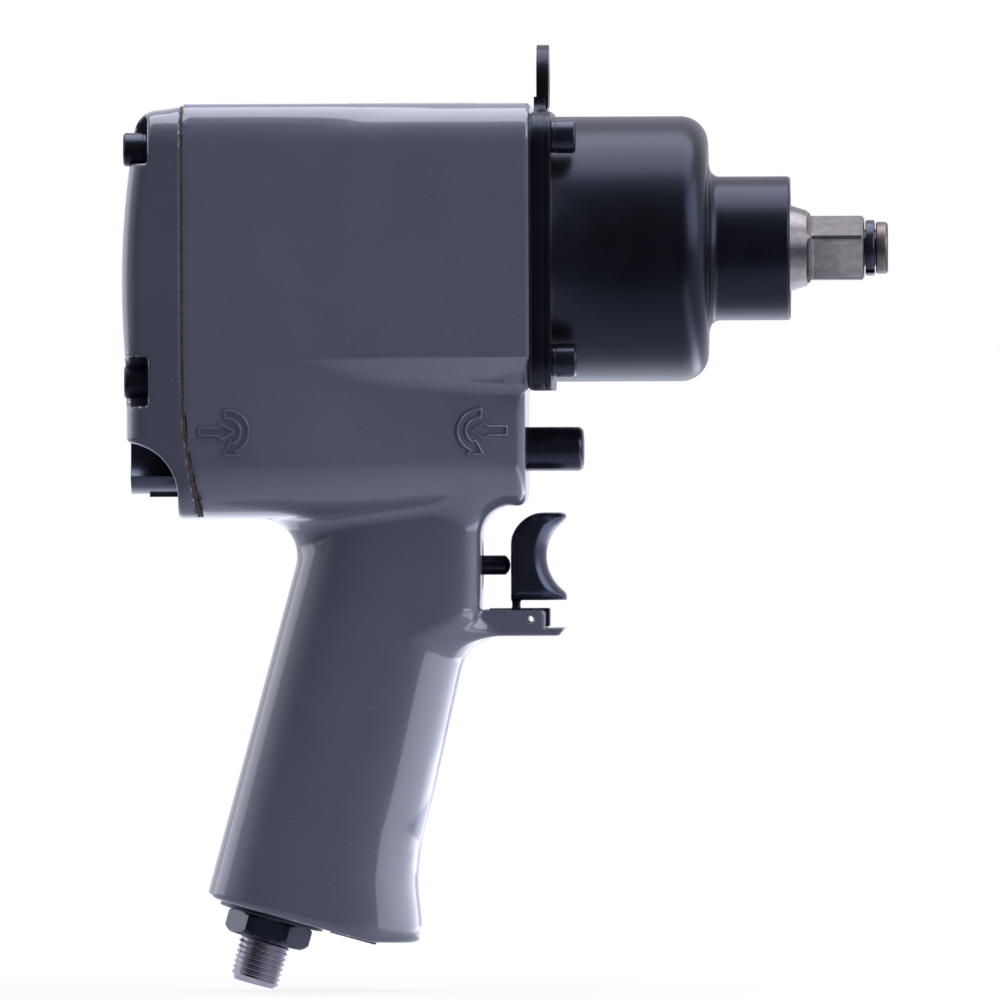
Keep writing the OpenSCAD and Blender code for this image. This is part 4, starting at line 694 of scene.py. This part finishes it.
outside += [(c["face"] - c["edge"] - 12, c["drumR"]), (c["flange"] + 0.6, c["drumR"]),
            (c["flange"] - 0.6, c["drumR"] + 0.6), (c["back"], c["drumR"] + 0.5), (c["back"], 31.2), (-72.7, 30.95),
            (-72.9, c["inside"]), (-33.0, c["inside"]), (-33.0, c["bore"]), (c["nose"] - 0.4, c["bore"])]
casePiece = turnedPiece("hammerCase", outside, 192, closed=True)


# a plate in (y, z) between x0 and x1 with rounded corners and a round hole, its rims softened
def platePiece(name, x0, x1, half, bottom, top, corner, hole):
    soft, steps = 0.25, 10
    rim = []
    for cy, cz, start in ((half - corner, top - corner, 0), (-half + corner, top - corner, 90),
                          (-half + corner, bottom + corner, 180), (half - corner, bottom + corner, 270)):
        for i in range(steps + 1):
            a = math.radians(start + 90 * i / steps)
            rim.append((cy, cz, math.cos(a), math.sin(a)))
    points = []
    for x, pull in ((x0, soft), (x0 + soft * 0.3, soft * 0.3), (x0 + soft, 0), (x1 - soft, 0),
                    (x1 - soft * 0.3, soft * 0.3), (x1, soft)):
        points += [(x, cy + (corner - pull) * ca, cz + (corner - pull) * sa) for cy, cz, ca, sa in rim]
    for x in (x1, x0):
        for cy, cz, ca, sa in rim:
            a = math.atan2(cz + corner * sa, cy + corner * ca)
            points.append((x, hole * math.cos(a), hole * math.sin(a)))
    return cleanUp(newPiece(name, points, tubeFaces(8, len(rim), closed=True)))


flange = platePiece("flange", c["back"], c["flange"], c["plateHalf"], c["plateBottom"], c["plateTop"],
                    c["plateCorner"], 32.6)
joinPieces(casePiece, flange)
finishPiece(casePiece, "hammer_case", sharp=28)
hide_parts("hammer_case")
print("hammer case:", len(casePiece.data.polygons), "faces")

# the anvil: cone, milled square, retainer groove and end disc

anvil = {"turn": 63.4, "flat": 6.35, "corner": 8.5, "length": 13.5, "neck": 4.7, "disc": 6.6, "discEnd": 19.5,
         "discStart": 16.4, "journal": 10.4, "mill": 2.0, "cone": 11.0, "coneEnd": 9.2, "jaw": 12.4}


def squareRadius(flat, limit):
    return flatsRadius(4, anvil["turn"], flat, limit)


cornerAngle = math.degrees(math.acos(anvil["flat"] / anvil["corner"]))
between = (45 - cornerAngle) / 3
squareAngles = []
for side in range(4):
    steps = list(np.linspace(-cornerAngle, cornerAngle, 21)) + [45 - between, 45 + between]
    squareAngles += [math.radians(side * 90 + a + anvil["turn"]) for a in steps]


def jawRadius(angle):
    return anvil["jaw"] if math.cos(angle) > math.cos(math.radians(14)) else 8.5


stations = [(-72, 6.0), (-59.9, 6.0), (-59.9, 8.5), (-59.0, 8.5), (-59.0, jawRadius), (-40.2, jawRadius), (-40.2, 8.5),
            (-39.5, 8.5), (-39.5, 13.2), (-33.4, 13.2), (-33.4, anvil["journal"]), (-5.8, anvil["journal"])]
for x in np.arange(-5.6, 1.0, 0.2):
    cone = anvil["cone"] - (anvil["cone"] - anvil["coneEnd"]) * (x + 5.6) / 5.6 - max(x + 0.4, 0) * 3
    lift = max(0.9 - x, 0)
    milled = anvil["mill"] - math.sqrt(max(anvil["mill"] ** 2 - lift ** 2, 0)) if lift < anvil["mill"] else 9
    stations.append((float(x), squareRadius(anvil["flat"] + milled, max(cone, anvil["corner"]))))
stations += [(anvil["length"] - 0.7, squareRadius(anvil["flat"], anvil["corner"])),
             (anvil["length"] - 0.25, squareRadius(anvil["flat"] - 0.15, anvil["corner"] - 0.45)),
             (anvil["length"], squareRadius(anvil["flat"] - 0.5, anvil["corner"] - 1.2)),
             (anvil["length"], anvil["neck"]), (anvil["discStart"] + 0.6, anvil["neck"])]
anvilPiece = turnedPiece("anvil", stations, squareAngles)
finishPiece(anvilPiece, "anvil", sharp=24)
d, end = anvil["disc"], anvil["discEnd"]
discPiece = turnedPiece("anvilDisc", [
    (anvil["discStart"], 0.8), (anvil["discStart"], d - 0.35), (anvil["discStart"] + 0.35, d), (end - 0.9, d),
    (end - 0.55, d - 0.08), (end - 0.25, d - 0.3), (end - 0.06, d - 0.62), (end, d - 1.0), (end, 2.0),
    (end - 1.2, 0.6)], 72)
finishPiece(discPiece, "anvil", finish="temperedSteel", sharp=30)
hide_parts("anvil")
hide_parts("anvil")

ring = {"outer": 7.1, "inner": 5.4, "x0": 13.75, "x1": 16.15, "gap": 14, "turn": 212}


# a split ring: a rounded profile carried round an arc and closed at both ends
def splitRing(name, inner, outer, x0, x1, gap, turn):
    steps, soft = 72, 0.55
    profile = []
    for cx, cr, start in ((x1 - soft, outer - soft, 0), (x0 + soft, outer - soft, 90),
                          (x0 + soft, inner + soft, 180), (x1 - soft, inner + soft, 270)):
        profile += [(cx + soft * math.cos(math.radians(start + a)), cr + soft * math.sin(math.radians(start + a)))
                    for a in (0, 22.5, 45, 67.5, 90)]
    points = []
    for k in range(steps + 1):
        a = math.radians(turn + gap / 2 + (360 - gap) * k / steps)
        points += [(x, r * math.sin(a), r * math.cos(a)) for x, r in profile]
    return cleanUp(newPiece(name, points, tubeFaces(steps + 1, len(profile))))


ringPiece = splitRing("socketRetainer", **ring)
finishPiece(ringPiece, "socket_retainer")
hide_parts("socket_retainer")
print("anvil and retainer ready")

# hanger plate, seals and small turned parts, from the CAD part's own forms

for node, name, width in (("hanger_plate", "hangerPlate", 0.45), ("front_gasket", "frontGasket", 0.12),
                          ("rear_gasket", "rearGasket", 0.1), ("inlet_washer", "inletWasher", 0.25),
                          ("regulator_knob", "regulatorKnob", 0.6), ("regulator_screw", "regulatorScrew", 0.2),
                          ("hammer_case_washers", "caseWashers", 0.15), ("rear_cover_washers", "coverWashers", 0.15),
                          ("push_rod", "pushRod", 0.3), ("trigger_pin", "triggerPin", 0.12),
                          ("exhaust_deflector", "exhaustDeflector", 0.25)):
    piece = softenedCopy(node, name, width)
    if node in ("front_gasket", "rear_gasket"):
        for vertex in piece.data.vertices:  # the seals end a little inside the castings' faces
            vertex.co.y *= 0.991
            vertex.co.z = (vertex.co.z + 0.0156) * 0.991 - 0.0156
    finishPiece(piece, node)
    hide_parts(node)
print("softened pieces ready")

# the trigger: a moulded saddle on a folded foot

trigger = {"back": -76.8, "top": -66.8, "bottom": -89.2, "tip": -62.6, "half": 8.5, "hollowX": -56.4, "hollowZ": -78.0,
           "hollow": 11.3, "backR": 9.0, "side": 2.6, "pinHole": 1.33,
           # middle in x and z, then half the length, width and height
           "leg": (-75.4, -90, 1.0, 4.9, 2.2), "foot": (-74.6, -92.075, 7.7, 4.95, 0.825),
           "knuckle": (-70.2, -93.6, 3.4, 4.95, 2.3)}


def triggerField(x, y, z):
    c = trigger

    def block(midX, midZ, halfX, halfY, halfZ):
        return np.maximum(np.abs(x - midX) - halfX, np.maximum(np.abs(y) - halfY, np.abs(z - midZ) - halfZ))
    pad = np.maximum(np.maximum(c["back"] - x, x - c["tip"]), np.maximum(z - c["top"], c["bottom"] - z))
    aside, above = np.minimum(x - (c["back"] + c["backR"]), 0), np.maximum(z - (c["top"] - c["backR"]), 0)
    pad = trimmed(pad, np.hypot(aside, above) - c["backR"], 0.5)
    hollow = c["hollow"] - np.hypot(x - c["hollowX"], z - c["hollowZ"])
    pad = trimmed(pad, hollow, 0.7)
    slant = (x - c["tip"]) * 0.55 + (z - c["top"]) * 0.84 + 0.5
    pad = trimmed(pad, slant, 0.8)
    # the flanks are rounded far more beside the finger's hollow than at the back
    pad = trimmed(pad, np.abs(y) - c["half"], c["side"] + 1.9 * eased(hollow, -5, -1))
    form = np.minimum(joined(pad, block(*c["leg"]), 0.6), np.minimum(block(*c["foot"]), block(*c["knuckle"])))
    return np.maximum(form, c["pinHole"] - np.hypot(x - bores["pinX"], z - bores["pinZ"]))


triggerPiece = skinOfField("trigger", triggerField, gridLines(-84, -61, 0.4), gridLines(-9.4, 9.5, 0.45),
                           gridLines(-97, -65.5, 0.4))
finishPiece(triggerPiece, "trigger", sharp=50)
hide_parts("trigger")
print("trigger:", len(triggerPiece.data.polygons), "faces")

# the reverse valve in one turned piece, with its button

button = {"tip": -58.1, "r": 5.6, "edge": 1.5}
c = button
spool = [(-173.0, 4.0), (-146.64, 4.0), (-146.64, 6.5), (-143.75, 6.5), (-143.6, 5.6), (-141.7, 5.6), (-141.5, 6.5)]
spool += [(-120.0, 6.5), (-119.6, 4.2), (-106.0, 4.2), (-105.6, 6.5), (-84.6, 6.5), (-84.4, c["r"]), (-77.0, c["r"]),
          (-76.8, 4.9), (-75.4, 4.9), (-75.2, c["r"])]
spool += arcStations(c["tip"] - c["edge"], c["r"] - c["edge"], c["edge"], 90, 8, 7)
spool += [(c["tip"] + 0.12, c["r"] - c["edge"] - 1.2), (c["tip"] + 0.2, 0.4)]
spoolPiece = turnedPiece("reverseSpool", spool, 96, z=bores["valveZ"])
finishPiece(spoolPiece, "reverse_spool", sharp=40)
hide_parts("reverse_spool")

# inlet: chamfered hexagon, threaded nipple

inlet = {"flat": 9.5, "height": 6.0, "washer": 1.3, "spigot": 8.6, "spigotLength": 12.0, "major": 6.58, "minor": 5.95,
         "pitch": 1.34, "thread": 11.3, "bore": 4.0, "shank": 6.2}


def hexRadius(flat, limit):
    return flatsRadius(6, -30, flat, limit)


c = inlet
hexAngles = [math.radians(60 * k + a) for k in range(6) for a in np.linspace(0, 54, 10)]
low = c["washer"] + c["height"]
corner = c["flat"] / math.cos(math.radians(30))
hexPiece = turnedPiece("inletBushing", [
    (-c["spigotLength"], c["shank"]), (-c["spigotLength"], c["spigot"]), (c["washer"], c["spigot"]),
    (c["washer"], hexRadius(c["flat"], c["flat"] + 0.3)), (c["washer"] + 0.5, hexRadius(c["flat"], corner - 0.2)),
    (c["washer"] + 0.9, hexRadius(c["flat"], corner)), (low - 1.5, hexRadius(c["flat"], corner)),
    (low - 0.8, hexRadius(c["flat"], corner - 0.55)), (low - 0.15, hexRadius(c["flat"], c["flat"] + 0.12)),
    (low, hexRadius(c["flat"] - 0.3, c["flat"] - 0.3)), (low, c["shank"]),
], hexAngles, closed=True)
turnTo(hexPiece, inletWay, inletPlace)
finishPiece(hexPiece, "inlet_bushing", sharp=20)
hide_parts("inlet_bushing")

# the pipe thread is a spiral ridge on a tapered core
tree, given = startTree("pipeThread", ("Start radius", "End radius", "Turns", "Length", "Ridge"))
spiral = addNode(tree, "GeometryNodeCurveSpiral", {
    "Resolution": 48, "Start Radius": given["Start radius"], "End Radius": given["End radius"],
    "Rotations": given["Turns"], "Height": given["Length"]})
upright = addNode(tree, "GeometryNodeSetCurveNormal", {"mode": "Z_UP", "Curve": spiral.outputs[0]})
wedge = addNode(tree, "GeometryNodeCurvePrimitiveCircle", {"Resolution": 4, "Radius": given["Ridge"]})
ridge = addNode(tree, "GeometryNodeCurveToMesh", {"Fill Caps": True, "Curve": upright.outputs[0],
                                                  "Profile Curve": wedge.outputs[0]})
endTree(tree, ridge.outputs[0], given)
ridgeSize = 0.67
threadPiece = grow(newPiece("inletNipple", [(0, 0, 0)], []), tree, {
    "Start radius": (c["major"] - ridgeSize) * mm, "End radius": (c["major"] - ridgeSize - 0.3) * mm,
    "Turns": (c["thread"] - 1.2) / c["pitch"], "Length": (c["thread"] - 1.2) * mm, "Ridge": ridgeSize * mm,
    "Material": finishOf["zincPlate"]})
turnTo(threadPiece, inletWay, Vector(inletPlace) + Vector(inletWay) * (low + 0.1), start=(0, 0, 1))
core = turnedPiece("core", [
    (-c["spigotLength"] + 1, c["bore"]), (-c["spigotLength"] + 1, c["shank"] - 0.05), (low, c["shank"] - 0.05),
    (low, c["minor"]), (low + c["thread"] - 1.0, c["minor"] - 0.3), (low + c["thread"], c["minor"] - 0.8),
    (low + c["thread"], c["bore"])], 64, closed=True)
joinPieces(threadPiece, turnTo(core, inletWay, inletPlace))
finishPiece(threadPiece, "inlet_nipple", sharp=28)
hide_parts("inlet_nipple")

# socket head cap screws: one tree, grown on the four places at each end of the tool
screw = {"radius": 4.25, "height": 4.5, "chamfer": 0.5, "pull": 0.89, "socket": 2.3, "socketDepth": 2.6, "shank": 2.5}


# a cylinder whose middle stands at the given height
def cylinderAt(tree, sides, radius, depth, height):
    cylinder = addNode(tree, "GeometryNodeMeshCylinder", {"fill_type": "NGON", "Vertices": sides, "Radius": radius,
                                                          "Depth": depth})
    place = addNode(tree, "ShaderNodeCombineXYZ", {"Z": height})
    return addNode(tree, "GeometryNodeTransform", {"Geometry": cylinder.outputs[0],
                                                   "Translation": place.outputs[0]}).outputs[0]


tree, given = startTree("capScrews", ("Head radius", "Head height", "Chamfer", "Socket radius", "Socket depth",
                                      "Shank radius", "Shank length", "Tilt"))
head = addNode(tree, "GeometryNodeMeshCylinder", {"fill_type": "NGON", "Vertices": 48, "Radius": given["Head radius"],
                                                  "Depth": given["Head height"]})
rim = addNode(tree, "GeometryNodeExtrudeMesh", {"mode": "FACES", "Mesh": head.outputs["Mesh"],
                                                "Selection": head.outputs["Top"], "Offset Scale": given["Chamfer"]})
narrowed = addNode(tree, "GeometryNodeScaleElements", {
    "domain": "FACE", "Scale": screw["pull"], "Geometry": rim.outputs["Mesh"], "Selection": rim.outputs["Top"]})
socketTop = calculate(tree, "MULTIPLY_ADD", given["Head height"], 0.5, given["Chamfer"])
socketSpan = calculate(tree, "MULTIPLY", given["Socket depth"], 2.0)
hexagon = cylinderAt(tree, 6, given["Socket radius"], socketSpan, socketTop)
socketed = addNode(tree, "GeometryNodeMeshBoolean", {"operation": "DIFFERENCE", 0: narrowed.outputs[0], 1: hexagon})
shankMiddle = calculate(tree, "MULTIPLY_ADD", given["Shank length"], -0.5, -0.002)
shank = cylinderAt(tree, 24, given["Shank radius"], given["Shank length"], shankMiddle)
whole = addNode(tree, "GeometryNodeJoinGeometry", {0: socketed.outputs[0]})
tree.links.new(shank, whole.inputs[0])
tilt = addNode(tree, "ShaderNodeCombineXYZ", {"Y": given["Tilt"]})
placed = addNode(tree, "GeometryNodeInstanceOnPoints", {"Points": given["Geometry"], "Instance": whole.outputs[0],
                                                        "Rotation": tilt.outputs[0]})
chance = addNode(tree, "FunctionNodeRandomValue", {"data_type": "FLOAT", "Seed": 3})
spin = addNode(tree, "ShaderNodeCombineXYZ", {"Z": chance.outputs["Value"]})
spun = addNode(tree, "GeometryNodeRotateInstances", {"Local Space": True, "Instances": placed.outputs[0],
                                                     "Rotation": spin.outputs[0]})
endTree(tree, spun.outputs[0], given)
for node, name, facing in (("hammer_case_screws", "caseScrews", 1), ("rear_cover_screws", "coverScrews", -1)):
    lowCorner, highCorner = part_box(node)
    tip = highCorner[0] if facing > 0 else lowCorner[0]
    back = lowCorner[0] if facing > 0 else highCorner[0]
    middleX = tip / mm - facing * (screw["chamfer"] + screw["height"] / 2)
    places = [(middleX, y * (highCorner[1] / mm - screw["radius"]), z) for y in (-1, 1)
              for z in (lowCorner[2] / mm + screw["radius"], highCorner[2] / mm - screw["radius"])]
    piece = grow(newPiece(name, places, []), tree, {
        "Head radius": screw["radius"] * mm, "Head height": screw["height"] * mm, "Chamfer": screw["chamfer"] * mm,
        "Socket radius": screw["socket"] * mm, "Socket depth": screw["socketDepth"] * mm,
        "Shank radius": screw["shank"] * mm, "Shank length": abs(tip - back) - 6 * mm, "Tilt": facing * math.pi / 2,
        "Material": finishOf["blackOxide"]})
    finishPiece(piece, node, sharp=30)
    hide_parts(node)
print("thread and cap screws grown")

# stage

camera = bpy.data.cameras.new("camera")
camera.lens = 700
camera.sensor_width = 36
camera.clip_end = 20
cameraObject = newObject("camera", camera)
shot = {"target": (-0.07949, 0.0, -0.06374), "width": 0.25445, "turn": 1.4, "rise": 0.3, "roll": -0.25}
distance = shot["width"] * camera.lens / camera.sensor_width
turn, rise = math.radians(shot["turn"]), math.radians(shot["rise"])
away = Vector((math.sin(turn) * math.cos(rise), -math.cos(turn) * math.cos(rise), math.sin(rise)))
cameraObject.location = Vector(shot["target"]) + away * distance
rolled = Quaternion((0, 0, 1), math.radians(shot["roll"]))
cameraObject.rotation_euler = ((-away).to_track_quat("-Z", "Y") @ rolled).to_euler()
bpy.context.scene.camera = cameraObject

middle = (-0.09, 0, -0.06)
lights = {  # place, target, width, height and radiance
    "topSoftbox": ((-0.09, 0.05, 1.0), middle, 1.6, 0.95, 4.6),
    "frontSoftbox": ((0.95, -0.55, 0.5), middle, 1.05, 0.9, 3.9),
    "lowCard": ((0.06, 0.045, -0.15), (-1.0, 0.045, -0.15), 0.51, 0.076, 2.4),
    "backCard": ((-0.07, 0.3, -0.187), (-0.07, 0.301, 1.0), 0.4, 0.45, 1.1),
    "rearCard": ((-0.95, 0.34, 0.0), middle, 0.65, 0.6, 1.45),
}
for name, (place, target, width, height, radiance) in lights.items():
    light = bpy.data.lights.new(name, "AREA")
    light.shape = "RECTANGLE"
    light.size = width
    light.size_y = height
    light.energy = radiance * math.pi * width * height
    light.color = linearColour("#eef0ff")[:3]
    lamp = newObject(name, light)
    lamp.location = place
    lamp.rotation_euler = (Vector(target) - Vector(place)).to_track_quat("-Z", "Y").to_euler()
    lamp.visible_camera = False

world = bpy.data.worlds.new("studio")
world.use_nodes = True
bpy.context.scene.world = world
tree = world.node_tree
tree.nodes.clear()
way = addNode(tree, "ShaderNodeTexCoord").outputs["Generated"]
parts = addNode(tree, "ShaderNodeSeparateXYZ", {0: way})
ramp = addNode(tree, "ShaderNodeMapRange", {"From Min": -0.7, "From Max": -0.22, "To Min": 0.085, "To Max": 1.0,
                                            "Value": parts.outputs[1]})
shade = addNode(tree, "ShaderNodeBackground", {"Color": linearColour("#f0f1ff"), "Strength": ramp.outputs[0]})
white = addNode(tree, "ShaderNodeBackground", {"Color": (1, 1, 1, 1), "Strength": 1.0})
ray = addNode(tree, "ShaderNodeLightPath").outputs["Is Camera Ray"]
mixed = addNode(tree, "ShaderNodeMixShader", {0: ray, 1: shade.outputs[0], 2: white.outputs[0]})
addNode(tree, "ShaderNodeOutputWorld", {0: mixed.outputs[0]})

lowest, reach = -0.1885, 3000
floorPiece = newPiece("floor", [(x, y, lowest / mm) for x, y in ((-reach, -reach), (reach, -reach), (reach, reach),
                                                                 (-reach, reach))], [(0, 1, 2, 3)])
floorMaterial, tree, shader, place = startMaterial(
    "paleFloor", {"Base Color": linearColour("#bcbcc0"), "Roughness": 0.9, "Specular IOR Level": 0.1})
# the camera sees the floor white, with the object's shadow near it; in reflections it is white behind the object and to
# the right, and dark towards the camera, as the room is there
spread = addNode(tree, "ShaderNodeVectorMath", {"operation": "DISTANCE", 0: place, 1: (-0.1, 0, lowest)})
fade = addNode(tree, "ShaderNodeMapRange", {"From Min": 0.1, "From Max": 0.3, "To Min": 0.86, "To Max": 1.0,
                                            "Value": spread.outputs["Value"]})
side = addNode(tree, "ShaderNodeVectorMath", {"operation": "DOT_PRODUCT", 0: place, 1: (0.55, 1, 0)})
bright = addNode(tree, "ShaderNodeMapRange", {"From Min": -0.38, "From Max": -0.1, "To Min": 0.1, "To Max": 1.0,
                                              "Value": side.outputs["Value"]})
paths = addNode(tree, "ShaderNodeLightPath").outputs
direct = calculate(tree, "MULTIPLY", paths["Is Camera Ray"], fade.outputs[0])
mirrored = calculate(tree, "MAXIMUM", paths["Is Glossy Ray"], paths["Is Transmission Ray"])
amount = calculate(tree, "MAXIMUM", direct, mirrored)
strength = addNode(tree, "ShaderNodeMix", {"data_type": "FLOAT", 0: paths["Is Glossy Ray"], 2: 1.0,
                                           3: bright.outputs[0]})
cool = addNode(tree, "ShaderNodeMix", {"data_type": "RGBA", 0: paths["Is Glossy Ray"], 6: (1, 1, 1, 1),
                                       7: linearColour("#e4e9ff")})
glow = addNode(tree, "ShaderNodeEmission", {"Color": cool.outputs[2], "Strength": strength.outputs[0]})
blendShader = addNode(tree, "ShaderNodeMixShader", {0: amount, 1: shader.outputs[0], 2: glow.outputs[0]})
tree.links.new(blendShader.outputs[0], next(n for n in tree.nodes if n.type == "OUTPUT_MATERIAL").inputs[0])
floorPiece.data.materials.append(floorMaterial)

bpy.context.scene.view_settings.view_transform = "Standard"
print("stage ready")
